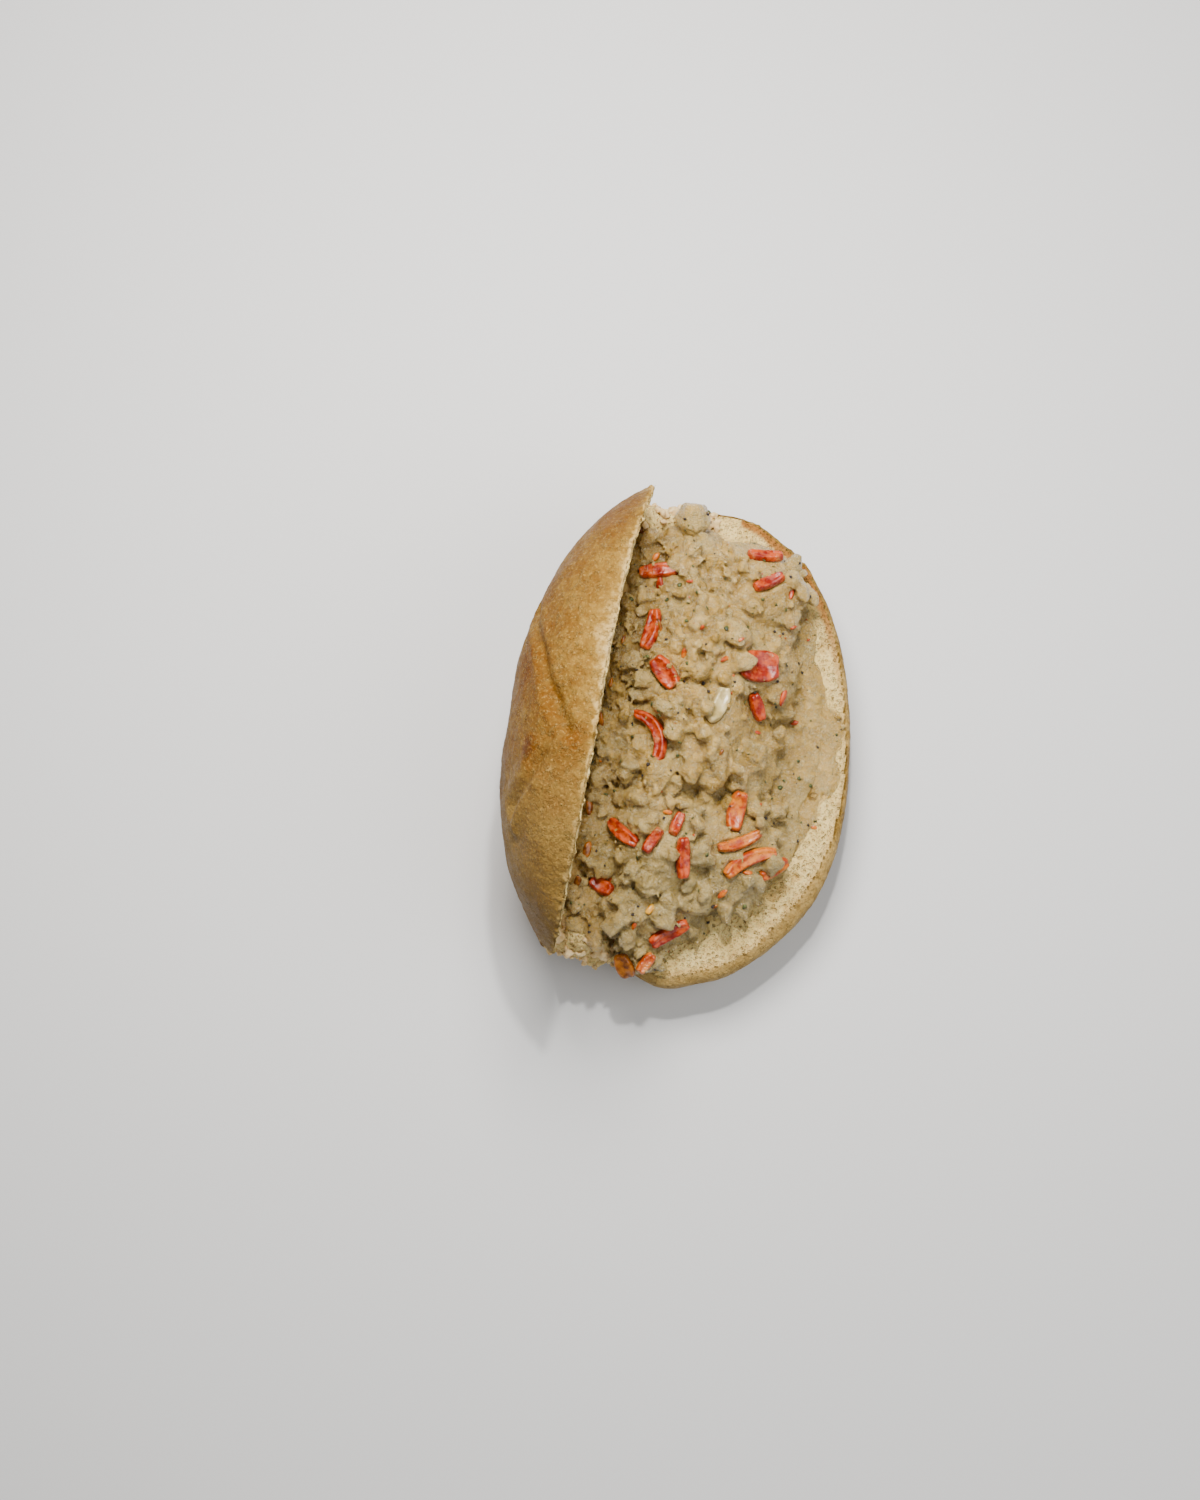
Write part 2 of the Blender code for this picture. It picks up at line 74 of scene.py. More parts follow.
# The filling.
FILLING_VOXEL = 0.48
CHUNKS = 340
CHUNK_SIZES = (4.0, 13.0)
NUBS = 900
NUB_SIZES = (1.2, 2.9)
LAPS = 3  # drops of sauce that lap over each strip
LAP_SIZES = (1.2, 3.2)
SPREAD_LUMPS = 150  # small lumps in the sauce that covers the base's cut face
LUMP_SIZES = (1.6, 6.6)


# ---- Mesh tools ----------------------------------------------------------------------------------


def points_of(mesh):
    """The vertices of a mesh in millimetres, and their normals."""
    places = np.empty(len(mesh.vertices) * 3, np.float32)
    mesh.vertices.foreach_get("co", places)
    normals = np.empty_like(places)
    mesh.vertices.foreach_get("normal", normals)
    return places.reshape(-1, 3).astype(float) / MM, normals.reshape(-1, 3).astype(float)


def move_points(mesh, places):
    mesh.vertices.foreach_set("co", (places * MM).astype(np.float32).ravel())
    mesh.update()


def edges_of(mesh):
    edges = np.empty(len(mesh.edges) * 2, np.int32)
    mesh.edges.foreach_get("vertices", edges)
    return edges.reshape(-1, 2)


def neighbour_mean(values, edges):
    """The mean of each vertex's neighbours, for one value or for several a vertex."""
    a, b = edges.T
    table = values.reshape(len(values), -1)
    count = np.maximum(np.bincount(edges.ravel(), minlength=len(table)), 1)
    columns = []
    for column in table.T:
        total = np.bincount(a, column[b], len(table)) + np.bincount(b, column[a], len(table))
        columns.append(total / count)
    return np.stack(columns, 1).reshape(values.shape)


def smoothed(values, edges, rounds, weight=1.0):
    """Values drawn towards their neighbours so many times, by a weight that each vertex may have."""
    weight = np.asarray(weight, float)
    if values.ndim > 1 and weight.ndim:
        weight = weight[:, None]
    for _ in range(rounds):
        values = values + (neighbour_mean(values, edges) - values) * weight
    return values


def field(places, size, seed=0.0, octaves=1):
    """Smooth noise from about -1 to 1 with features of that size, at each place."""
    scaled = places / np.asarray(size, float) + np.array((seed, 1.7 * seed, -seed))
    if octaves == 1:
        return np.array([noise.noise(p) for p in scaled.tolist()])
    return np.array([noise.fractal(p, 0.9, 2.0, octaves) for p in scaled.tolist()])


def step(values, low, high):
    """0 below low, 1 above high and smooth between them."""
    share = np.clip((values - low) / (high - low), 0.0, 1.0)
    return share * share * (3.0 - 2.0 * share)


def set_value(mesh, name, values):
    layer = mesh.attributes.get(name) or mesh.attributes.new(name, "FLOAT", "POINT")
    layer.data.foreach_set("value", np.asarray(values, np.float32))


def new_object(name, mesh, material, replaced=()):
    """A smooth piece of the sandwich."""
    made = bpy.data.objects.new(name, mesh)
    bpy.context.scene.collection.objects.link(made)
    mesh.materials.clear()
    mesh.materials.append(material)
    mesh.polygons.foreach_set("use_smooth", np.ones(len(mesh.polygons), bool))
    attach(made, "root")
    if replaced:
        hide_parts(*replaced)
    return made


def evaluated_mesh(mesh, add_modifiers):
    """A mesh with modifiers applied."""
    temporary = bpy.data.objects.new("temporary", mesh)
    bpy.context.scene.collection.objects.link(temporary)
    add_modifiers(temporary)
    graph = bpy.context.evaluated_depsgraph_get()
    result = bpy.data.meshes.new_from_object(temporary.evaluated_get(graph))
    bpy.data.objects.remove(temporary)
    return result


def joined(meshes):
    bm = bmesh.new()
    for mesh in meshes:
        bm.from_mesh(mesh)
    result = bpy.data.meshes.new("joined")
    bm.to_mesh(result)
    bm.free()
    return result


def remeshed(meshes, voxel):
    """One closed skin round all the meshes, made of voxels of that size."""

    def add_remesh(thing):
        modifier = thing.modifiers.new("skin", "REMESH")
        modifier.mode = "VOXEL"
        modifier.voxel_size = voxel * MM

    return evaluated_mesh(joined(meshes), add_remesh)


def part_of_mesh(mesh, chosen, name):
    """The faces whose vertices are mostly chosen, as a mesh of its own with the same values."""
    bm = bmesh.new()
    bm.from_mesh(mesh)
    dropped = [face for face in bm.faces if sum(chosen[v.index] for v in face.verts) * 2 < len(face.verts)]
    bmesh.ops.delete(bm, geom=dropped, context="FACES")
    result = bpy.data.meshes.new(name)
    bm.to_mesh(result)
    bm.free()
    return result


def tree_of(mesh):
    bm = bmesh.new()
    bm.from_mesh(mesh)
    tree = BVHTree.FromBMesh(bm)
    bm.free()
    return tree


def point_tree(places):
    tree = KDTree(len(places))
    for index, place in enumerate(places):
        tree.insert(place, index)
    tree.balance()
    return tree


def sizes_between(bounds, draw, count, power):
    """Sizes drawn between two bounds: the higher the power, the more of them are small."""
    return bounds[0] + (bounds[1] - bounds[0]) * draw.random(count) ** power


def scatter(mesh, count, draw, keep):
    """Places on a mesh in millimetres with their normals, even by area, where keep(place, normal) is true."""
    mesh.calc_loop_triangles()
    corners = np.empty(len(mesh.loop_triangles) * 3, np.int32)
    mesh.loop_triangles.foreach_get("vertices", corners)
    places, _ = points_of(mesh)
    a, b, c = (places[index] for index in corners.reshape(-1, 3).T)
    cross = np.cross(b - a, c - a)
    area = np.linalg.norm(cross, axis=1)
    found, normals = [], []
    while len(found) < count:
        index = draw.choice(len(area), 4 * count, p=area / area.sum())
        r1, r2 = np.sqrt(draw.random(len(index))), draw.random(len(index))
        share_a, share_b, share_c = ((1 - r1)[:, None], (r1 * (1 - r2))[:, None], (r1 * r2)[:, None])
        spot = a[index] * share_a + b[index] * share_b + c[index] * share_c
        normal = cross[index] / np.maximum(area[index], 1e-9)[:, None]
        good = keep(spot, normal)
        found.extend(spot[good])
        normals.extend(normal[good])
    return np.array(found[:count]), np.array(normals[:count])


def hull_shapes(count, points, draw, flatness=1.0):
    """Prototype pieces: convex hulls of points spread unevenly over a ball, as vertices and triangles."""
    shapes = []
    for _ in range(count):
        bm = bmesh.new()
        for index in range(points):
            z = 1.0 - 2.0 * (index + 0.5) / points
            around = index * math.pi * (3.0 - math.sqrt(5.0)) + draw.uniform(-0.5, 0.5)
            ring = math.sqrt(1.0 - z * z)
            reach = 0.5 * draw.uniform(0.75, 1.15)
            x, y = ring * math.cos(around) * reach, ring * math.sin(around) * reach
            bm.verts.new((x, y, z * reach * flatness))
        hull = bmesh.ops.convex_hull(bm, input=bm.verts)
        loose = [item for item in hull["geom_interior"] if isinstance(item, bmesh.types.BMVert)]
        bmesh.ops.delete(bm, geom=loose, context="VERTS")
        bmesh.ops.recalc_face_normals(bm, faces=bm.faces)
        bm.verts.index_update()
        places = np.array([vertex.co[:] for vertex in bm.verts])
        faces = np.array([[vertex.index for vertex in face.verts] for face in bm.faces])
        shapes.append((places, faces))
        bm.free()
    return shapes


def scattered_mesh(name, shapes, places, sizes, draw, normals=None, shortest=1.0):
    """Copies of the shapes at the places, turned at random or laid on the normals, joined into one mesh.

    Each axis of a copy is drawn in by a share of its own, down to the shortest.
    """
    vertices, faces, start = [], [], 0
    for index, place in enumerate(places):
        shape, triangles = shapes[int(draw.integers(len(shapes)))]
        axis = Vector(draw.normal(size=3)).normalized()
        turn = Matrix.Rotation(draw.uniform(0.0, 2.0 * math.pi), 3, axis)
        if normals is not None:
            lean = Vector(normals[index]) + Vector(draw.normal(size=3) * 0.3)
            spin = Matrix.Rotation(draw.uniform(0.0, 6.28), 3, "Z")
            turn = lean.to_track_quat("Z", "Y").to_matrix() @ spin
        drawn_in = sizes[index] * draw.uniform(shortest, 1.0, 3)
        vertices.append(shape * drawn_in @ np.array(turn).T + place)
        faces.append(triangles + start)
        start += len(shape)
    mesh = bpy.data.meshes.new(name)
    mesh.from_pydata((np.concatenate(vertices) * MM).tolist(), [], np.concatenate(faces).tolist())
    return mesh


# ---- Materials -----------------------------------------------------------------------------------


def srgb(red, green, blue):
    """A colour named by its 0 to 255 values on a screen, as linear light."""
    shares = (((c / 255.0 + 0.055) / 1.055) ** 2.4 if c > 10 else c / 3295.0 for c in (red, green, blue))
    return (*shares, 1.0)


class Paint:
    """A material under construction, with short calls for the nodes it needs."""

    def __init__(self, name, roughness=0.5, subsurface=0.0, radius=(1.0, 0.5, 0.25), coat=0.0):
        self.material = bpy.data.materials.new(name)
        self.material.use_nodes = True
        self.tree = self.material.node_tree
        self.shader = self.tree.nodes["Principled BSDF"]
        self.shader.inputs["Roughness"].default_value = roughness
        self.shader.inputs["IOR"].default_value = 1.45
        self.shader.inputs["Subsurface Weight"].default_value = subsurface
        self.shader.inputs["Subsurface Radius"].default_value = radius
        self.shader.inputs["Subsurface Scale"].default_value = 1.0 * MM
        self.shader.inputs["Coat Weight"].default_value = coat
        self.shader.inputs["Coat Roughness"].default_value = 0.08
        self.place = self.tree.nodes.new("ShaderNodeTexCoord").outputs["Object"]

    def put(self, socket, value):
        if hasattr(value, "is_output"):
            self.tree.links.new(value, socket)
        else:
            socket.default_value = value

    def set(self, name, value):
        self.put(self.shader.inputs[name], value)

    def value(self, name):
        node = self.tree.nodes.new("ShaderNodeAttribute")
        node.attribute_name = name
        return node.outputs["Fac"]

    def noise(self, size, detail=3.0, roughness=0.55, distortion=0.0, stretch=(1.0, 1.0, 1.0)):
        """Noise from 0 to 1 with features of that size in millimetres."""
        mapping = self.tree.nodes.new("ShaderNodeMapping")
        mapping.inputs["Scale"].default_value = [1.0 / (size * MM * share) for share in stretch]
        self.put(mapping.inputs["Vector"], self.place)
        node = self.tree.nodes.new("ShaderNodeTexNoise")
        self.put(node.inputs["Vector"], mapping.outputs["Vector"])
        node.inputs["Scale"].default_value = 1.0
        node.inputs["Detail"].default_value = detail
        node.inputs["Roughness"].default_value = roughness
        node.inputs["Distortion"].default_value = distortion
        return node.outputs["Fac"]

    def cells(self, size):
        """Distance to the nearest of points strewn so many millimetres apart, as a share of that."""
        node = self.tree.nodes.new("ShaderNodeTexVoronoi")
        self.put(node.inputs["Vector"], self.place)
        node.inputs["Scale"].default_value = 1.0 / (size * MM)
        return node.outputs["Distance"]

    def math(self, operation, a, b=0.0):
        node = self.tree.nodes.new("ShaderNodeMath")
        node.operation = operation
        self.put(node.inputs[0], a)
        self.put(node.inputs[1], b)
        return node.outputs[0]

    def plus(self, a, b):
        return self.math("ADD", a, b)

    def times(self, a, b):
        return self.math("MULTIPLY", a, b)

    def lines(self, size, distortion, width):
        """1 on winding lines some millimetres apart and 0 beside them: where noise crosses its middle."""
        away = self.math("ABSOLUTE", self.math("SUBTRACT", self.noise(size, 4.0, 0.6, distortion), 0.5))
        return self.between(away, 0.0, width, 1.0, 0.0)

    def between(self, value, low, high, to_low=0.0, to_high=1.0):
        """The value's range low to high spread smoothly over to_low to to_high."""
        node = self.tree.nodes.new("ShaderNodeMapRange")
        node.interpolation_type = "SMOOTHSTEP"
        for socket, number in zip(node.inputs[1:5], (low, high, to_low, to_high)):
            socket.default_value = number
        self.put(node.inputs["Value"], value)
        return node.outputs["Result"]

    def ramp(self, value, *stops):
        """A colour for the value from (place, colour) stops."""
        node = self.tree.nodes.new("ShaderNodeValToRGB")
        elements = node.color_ramp.elements
        while len(elements) < len(stops):
            elements.new(0.5)
        for element, (at, colour) in zip(elements, stops):
            element.position = at
            element.color = colour
        self.put(node.inputs["Fac"], value)
        return node.outputs["Color"]

    def mix(self, share, a, b):
        node = self.tree.nodes.new("ShaderNodeMix")
        node.data_type = "RGBA"
        self.put(node.inputs["Factor"], share)
        self.put(node.inputs[6], a)
        self.put(node.inputs[7], b)
        return node.outputs[2]

    def bump(self, *layers):
        """Relief from (height, depth in millimetres) layers, one on another."""
        normal = None
        for height, depth in layers:
            node = self.tree.nodes.new("ShaderNodeBump")
            node.inputs["Strength"].default_value = 1.0
            node.inputs["Distance"].default_value = depth * MM
            self.put(node.inputs["Height"], height)
            if normal:
                self.put(node.inputs["Normal"], normal)
            normal = node.outputs["Normal"]
        self.set("Normal", normal)
        self.set("Coat Normal", normal)


def crust_material():
    """Baked crust: mottled gold, paler where it was shaded in the oven, with fine wrinkles, blisters and
    painted shade towards the south end.
    """
    paint = Paint("crust", roughness=0.5, subsurface=0.04, radius=(1.0, 0.5, 0.25))
    paint.set("Specular IOR Level", 0.08)
    patches = paint.between(paint.noise(11.0, 5.0, 0.6), 0.3, 0.7, -0.09, 0.09)
    mottle = paint.between(paint.noise(2.6, 5.0, 0.65), 0.3, 0.7, -0.12, 0.12)
    tone = paint.plus(paint.plus(paint.value("bake"), patches), mottle)
    colour = paint.ramp(
        tone,
        (0.0, srgb(198, 164, 98)),
        (0.25, srgb(146, 112, 48)),
        (0.5, srgb(120, 84, 30)),
        (0.75, srgb(110, 66, 10)),
        (1.0, srgb(84, 42, 3)),
    )
    flour = paint.between(paint.value("bake"), -0.35, -0.05, 1.0, 0.0)
    colour = paint.mix(paint.times(flour, 0.6), colour, srgb(200, 178, 136))
    # Painted shade: the crust is darkened towards its south end, where less light falls on it.
    colour = paint.mix(paint.times(paint.value("painted_south_shade"), 0.55), colour, srgb(130, 104, 56))
    speckles = paint.between(paint.noise(0.9, 4.0, 0.7), 0.54, 0.66)
    colour = paint.mix(paint.times(speckles, 0.45), colour, srgb(194, 156, 86))
    darker = paint.between(paint.noise(1.4, 4.0, 0.7), 0.36, 0.46, 1.0, 0.0)
    colour = paint.mix(paint.times(darker, 0.4), colour, srgb(106, 66, 14))
    strokes = paint.times(paint.lines(3.4, 1.2, 0.04), paint.between(paint.noise(3.0), 0.5, 0.6))
    colour = paint.mix(paint.times(strokes, 0.45), colour, srgb(206, 166, 96))
    paint.set("Base Color", colour)
    paint.set("Roughness", paint.between(paint.noise(5.0, 3.0), 0.3, 0.7, 0.42, 0.6))
    paint.bump((paint.noise(1.1, 4.0, 0.65, 0.6), 0.75), (strokes, 0.4), (paint.noise(4.5, 4.0, 0.6), 0.9))
    return paint.material


def crumb_material():
    """Soft pale crumb with small pores, gold at its rim and stained where sauce has soaked in, with painted
    shade in its pores and pits.
    """
    paint = Paint("crumb", roughness=0.85, subsurface=0.2, radius=(1.6, 1.0, 0.5))
    pores = paint.between(paint.plus(paint.cells(1.5), paint.times(paint.noise(2.6), 0.5)), 0.38, 0.72)
    fine = paint.between(paint.cells(0.7), 0.05, 0.5)
    colour = paint.ramp(paint.noise(7.0, 4.0, 0.6), (0.3, srgb(212, 180, 106)), (0.7, srgb(228, 202, 134)))
    wet = paint.plus(paint.value("soaked"), paint.times(paint.noise(4.0), 0.5))
    sauce = paint.times(paint.between(wet, 0.55, 0.9), 0.85)
    dry = paint.math("SUBTRACT", 1.0, sauce)
    # Painted shade: the dry crumb is darkened at the middle of each pore.
    hollow = paint.times(paint.math("SUBTRACT", 1.0, pores), dry)
    colour = paint.mix(paint.times(hollow, 0.3), colour, srgb(172, 132, 64))
    # Painted shade: the crumb is darkened in its deeper pits.
    colour = paint.mix(paint.times(paint.value("painted_pit_shade"), 0.4), colour, srgb(164, 124, 56))
    film = paint.mix(paint.noise(6.0, 3.0), srgb(176, 138, 66), srgb(204, 166, 92))
    colour = paint.mix(sauce, colour, film)
    colour = paint.mix(paint.value("rim"), colour, srgb(152, 98, 32))
    paint.set("Base Color", colour)
    paint.set("Roughness", paint.between(sauce, 0.0, 0.85, 0.85, 0.38))
    small = paint.noise(1.2, 4.0, 0.65)
    paint.bump((paint.times(pores, dry), 0.65), (paint.times(fine, dry), 0.4), (small, 0.6))
    return paint.material


def filling_material():
    """Chopped turkey in pale cheese sauce: pale meat on the tops, yellower sauce between, painted shade in
    the hollows and beside the lid, and painted highlight streaks.
    """
    paint = Paint("turkey_in_sauce", roughness=0.36, subsurface=0.15, radius=(1.2, 0.8, 0.4), coat=0.9)
    meat = paint.ramp(
        paint.value("piece"),
        (0.0, srgb(176, 140, 60)),
        (0.2, srgb(194, 160, 86)),
        (0.4, srgb(176, 136, 46)),
        (0.58, srgb(160, 130, 64)),
        (0.78, srgb(200, 168, 98)),
        (1.0, srgb(158, 120, 52)),
    )
    grain = paint.between(paint.noise(1.4, 4.0, 0.65), 0.3, 0.7)
    meat = paint.mix(paint.times(grain, 0.45), meat, srgb(200, 168, 96))
    thick = paint.between(paint.noise(14.0, 3.0), 0.35, 0.65)
    sauce = paint.mix(thick, srgb(156, 122, 50), srgb(196, 160, 84))
    coated = paint.between(paint.plus(paint.noise(3.6, 4.0, 0.6), paint.value("cavity")), 0.72, 1.08)
    colour = paint.mix(coated, meat, sauce)
    oily = paint.between(paint.noise(5.0, 3.0, 0.6, 0.4), 0.62, 0.74)
    colour = paint.mix(paint.times(oily, 0.45), colour, srgb(160, 106, 30))
    # Painted shade: the deepest hollows of the heap are darkened.
    painted_hollow_shade = paint.between(paint.value("cavity"), 0.55, 0.95)
    colour = paint.mix(paint.times(painted_hollow_shade, 0.6), colour, srgb(96, 66, 22))
    # Painted shadow: the filling beside the lid is darkened where the lid shades it.
    colour = paint.mix(paint.times(paint.value("by_lid"), 0.4), colour, srgb(122, 92, 40))
    cloudy = paint.between(paint.noise(4.0, 4.0, 0.6), 0.35, 0.65)
    pool = paint.mix(cloudy, srgb(132, 116, 62), srgb(182, 162, 104))
    colour = paint.mix(paint.times(paint.value("pooled"), 0.55), colour, pool)
    # Painted highlights: thin pale streaks where the wet sauce would catch the light.
    painted_highlight_streaks = paint.times(paint.lines(2.8, 1.4, 0.045), paint.between(paint.noise(4.4), 0.42, 0.52))
    colour = paint.mix(paint.times(painted_highlight_streaks, 0.6), colour, srgb(236, 214, 158))
    paint.set("Base Color", colour)
    paint.set("Roughness", paint.between(paint.noise(1.8, 3.0, 0.6), 0.35, 0.65, 0.1, 0.36))
    lumps, small = paint.noise(1.8, 5.0, 0.65), paint.noise(0.7, 4.0, 0.65)
    fibres = paint.noise(0.9, 4.0, 0.65, 0.0, (2.0, 0.6, 1.0))
    paint.bump((lumps, 1.3), (painted_highlight_streaks, 0.35), (fibres, 0.4), (small, 0.55))
    return paint.material


def pepper_material(name, dark, light):
    """Cooked pepper: glossy flesh in two tones, with a thin film of sauce here and there."""
    paint = Paint(name, roughness=0.3, subsurface=0.1, radius=(1.5, 0.4, 0.2), coat=0.15)
    colour = paint.mix(paint.between(paint.noise(3.0, 4.0), 0.38, 0.64), dark, light)
    film = paint.between(paint.plus(paint.noise(3.6, 4.0, 0.6), paint.value("film")), 0.58, 0.78)
    colour = paint.mix(paint.times(film, 0.4), colour, srgb(192, 144, 84))
    paint.set("Base Color", colour)
    paint.set("Roughness", paint.between(paint.noise(1.5, 3.0), 0.35, 0.65, 0.22, 0.45))
    paint.bump((paint.noise(1.8, 4.0), 0.35), (film, 0.15))
    return paint.material


def plain_material(name, dark, light, size, roughness):
    """A small piece's finish: two tones of one colour with a little relief."""
    paint = Paint(name, roughness=roughness, subsurface=0.1)
    paint.set("Base Color", paint.mix(paint.between(paint.noise(size, 3.0), 0.3, 0.7), dark, light))
    paint.bump((paint.noise(size * 0.5, 2.0), 0.1))
    return paint.material


# ---- The photograph's camera ---------------------------------------------------------------------

CAMERA_TARGET = (-26.4, -5.7, 25.0)
CAMERA_AZIMUTH = 10.0
CAMERA_ELEVATION = 83.0
CAMERA_DISTANCE = 950.0
LENS, SENSOR = 70.1, 36.0
PHOTO_WIDTH, PHOTO_HEIGHT = 1200.0, 1500.0


def direction(azimuth, elevation):
    """From the object towards a camera or lamp that is seen at that azimuth and elevation."""
    a, e = math.radians(azimuth), math.radians(elevation)
    return Vector((math.sin(a) * math.cos(e), -math.cos(a) * math.cos(e), math.sin(e)))


def camera_place():
    return Vector(CAMERA_TARGET) + direction(CAMERA_AZIMUTH, CAMERA_ELEVATION) * CAMERA_DISTANCE


def under_pixel(tree, u, v):
    """The place in millimetres on that surface that the photograph shows at one of its pixels."""
    back = direction(CAMERA_AZIMUTH, CAMERA_ELEVATION)
    turn = (-back).to_track_quat("-Z", "Y").to_matrix()
    pixel = SENSOR / LENS / PHOTO_HEIGHT
    ray = turn @ Vector(((u - 0.5 * PHOTO_WIDTH) * pixel, (0.5 * PHOTO_HEIGHT - v) * pixel, -1.0))
    start = camera_place() * MM
    hit = tree.ray_cast(start, ray.normalized())[0]
    return np.array(hit or tree.find_nearest(start + ray * (CAMERA_DISTANCE * MM))[0]) / MM


# ---- Bread ---------------------------------------------------------------------------------------


def crumb_mask(places, normals):
    """1 where the bread is cut or torn and its crumb shows, 0 on its crust."""
    x, y, z = places.T
    base = (np.abs(z - CUT_HEIGHT) < 2.6) & (normals[:, 2] > 0.5) & (x > -20.0)
    lid = (x > LID_FACE - 4.0) & (normals[:, 0] > 0.5) & (z > CUT_HEIGHT + 2.0)
    fold = (x > -35.0) & (x < -8.0) & (z > CUT_HEIGHT - 2.0) & (z < FOLD_TOP)
    fold &= normals[:, 0] + normals[:, 2] > 0.3
    ragged = 2.5 * field(places, 4.0, 3.0)
    ends = (np.abs(y) > TORN_FROM) & (x > -33.5 + ragged) & (x < 4.0)
    ends &= (z > 16.0 + ragged) & (z < FOLD_TOP - 3.0)
    ends &= ~((z < CUT_HEIGHT - 0.5) & (x > -12.0 + ragged))
    return (base | lid | fold | ends).astype(float)


def pore_depth(places, allowed, draw):
    """How deep the pores of the crumb go at each place, in millimetres."""
    chosen = np.flatnonzero(allowed > 0.5)
    centres = draw.choice(chosen, len(chosen) // 50, replace=False)
    centres = centres[field(places[centres], 8.0, 61.0) + 0.3 * draw.normal(size=len(centres)) > -0.1]
    radii = 0.9 + 1.3 * draw.random(len(centres)) ** 3
    tree = point_tree(places[centres])
    depth = np.zeros(len(places))
    for index in chosen:
        for _, centre, distance in tree.find_n(places[index], 3):
            share = distance / radii[centre]
            if share < 1.0:
                depth[index] = max(depth[index], (1.0 - share * share) * radii[centre] * 0.8)
    return depth


def nearest_distance(places, sources, reach):
    """The distance from each place to the nearest source, at most reach."""
    tree = point_tree(sources)
    return np.array([min(reach, tree.find(place)[2]) for place in places])


def bake_tone(places, normals, tree):
    """How brown the crust is at each place, from 0 for pale dough to 1 for dark brown."""
    x, y, z = places.T
    tone = 0.44 + 0.07 * field(places, 30.0, 5.0) + 0.05 * field(places, 10.0, 8.0)
    on_lid = step(-x, 22.0, 28.0) * step(z, 26.0, 34.0)
    tone += 0.06 * on_lid
    for (u, v), radius, more in BROWN_SPOTS:
        away = np.linalg.norm(places - under_pixel(tree, u, v), axis=1)
        tone += more * np.exp(-((away / radius) ** 2))
    tone -= 0.2 * step(-normals[:, 2], 0.6, 0.95)
    south = step(-y, 0.0, 40.0)
    tone -= (0.2 + 0.2 * south) * step(x, -8.0, 4.0) * step(z, CUT_HEIGHT - 12.0, CUT_HEIGHT - 2.0)
    uneven = 8.0 * field(places, 9.0, 96.0, 2)
    floury = step(-y + 0.4 * x + uneven, 48.0, 74.0) * step(CUT_HEIGHT - 6.0 - z + 0.3 * uneven, 0.0, 6.0)
    tone -= 1.1 * floury * step(x + uneven, -16.0, 6.0)
    return tone


# Larger holes in the base's cut face: pixel of the photograph, radius and depth.
HOLES = (((796, 878), 1.6, 1.3), ((789, 890), 1.0, 0.9), ((778, 895), 1.5, 1.2), ((810, 876), 0.8, 0.7),
         ((812, 797), 1.3, 1.6), ((824, 796), 1.0, 0.8), ((773, 911), 1.3, 0.9), ((784, 907), 1.1, 0.8),
         ((813, 865), 1.6, 0.6), ((762, 925), 1.2, 0.8), ((742, 948), 1.0, 0.7), ((800, 858), 0.9, 0.7),
         ((812, 612), 1.0, 0.8), ((800, 590), 1.3, 0.9), ((824, 640), 1.0, 0.8), ((770, 540), 1.0, 0.7))


def hole_depth(places, tree):
    """How deep the larger holes are at each place."""
    depth = np.zeros(len(places))
    for (u, v), radius, most in HOLES:
        away = np.linalg.norm((places - under_pixel(tree, u, v))[:, :2], axis=1)
        depth += most * step(radius * (1.0 + 0.3 * field(places, 1.6, 95.0)) - away, -0.2, 0.5 * radius)
    return depth


# Creases of the lid's crust: pixels of the photograph along each, its width and its depth, less than 0 for
# a fold that stands up.
CREASES = (
    (((538, 611), (542, 651), (550, 687), (558, 712), (567, 729)), 1.7, 1.2),
    (((558, 698), (563, 714), (569, 726)), 3.2, 1.0),
    (((536, 762), (526, 785), (512, 806)), 2.6, 1.3),
    (((542, 764), (533, 783), (520, 803), (515, 829)), 1.8, -0.9),
    (((579, 655), (597, 657), (608, 661)), 1.6, 0.7),
    (((548, 735), (543, 752), (541, 762)), 3.2, 0.8),
    (((600, 770), (584, 804), (566, 850), (560, 890)), 3.5, 0.5),
)
# Spots of the lid's crust that are browner or paler: pixel, radius, and how much browner they are.
BROWN_SPOTS = (
    ((528, 743), 3.4, 0.5), ((526, 752), 2.8, 0.4), ((527, 676), 5.5, 0.34), ((531, 646), 5.5, 0.2),
    ((579, 738), 5.0, 0.24), ((568, 746), 3.6, 0.16), ((555, 806), 3.2, 0.24), ((622, 505), 9.0, 0.12),
    ((545, 700), 8.0, 0.06), ((585, 560), 12.0, -0.04), ((620, 560), 7.0, -0.16), ((606, 640), 9.0, -0.28),
    ((612, 600), 7.0, -0.12), ((592, 690), 7.0, -0.22), ((568, 800), 6.0, -0.1), ((562, 842), 8.0, -0.16),
    ((510, 810), 8.0, -0.16), ((512, 850), 8.0, -0.1), ((548, 882), 8.0, -0.08),
)


def distance_to_line(places, line):
    """The distance from each place to a line of straight stretches."""
    nearest = np.full(len(places), 1e9)
    for start, end in zip(line, line[1:]):
        along = end - start
        share = np.clip((places - start) @ along / (along @ along), 0.0, 1.0)
        nearest = np.minimum(nearest, np.linalg.norm(places - start - share[:, None] * along, axis=1))
    return nearest


def crease_depth(places, tree):
    """How deep the creases of the lid's crust are at each place."""
    depth = np.zeros(len(places))
    for pixels, width, most in CREASES:
        line = [under_pixel(tree, u, v) for u, v in pixels]
        away = distance_to_line(places, line)
        dip = most * np.exp(-((away / width) ** 2))
        shoulder = 0.4 * most * np.exp(-(((away - 2.2 * width) / width) ** 2))
        depth += dip - shoulder
    return depth


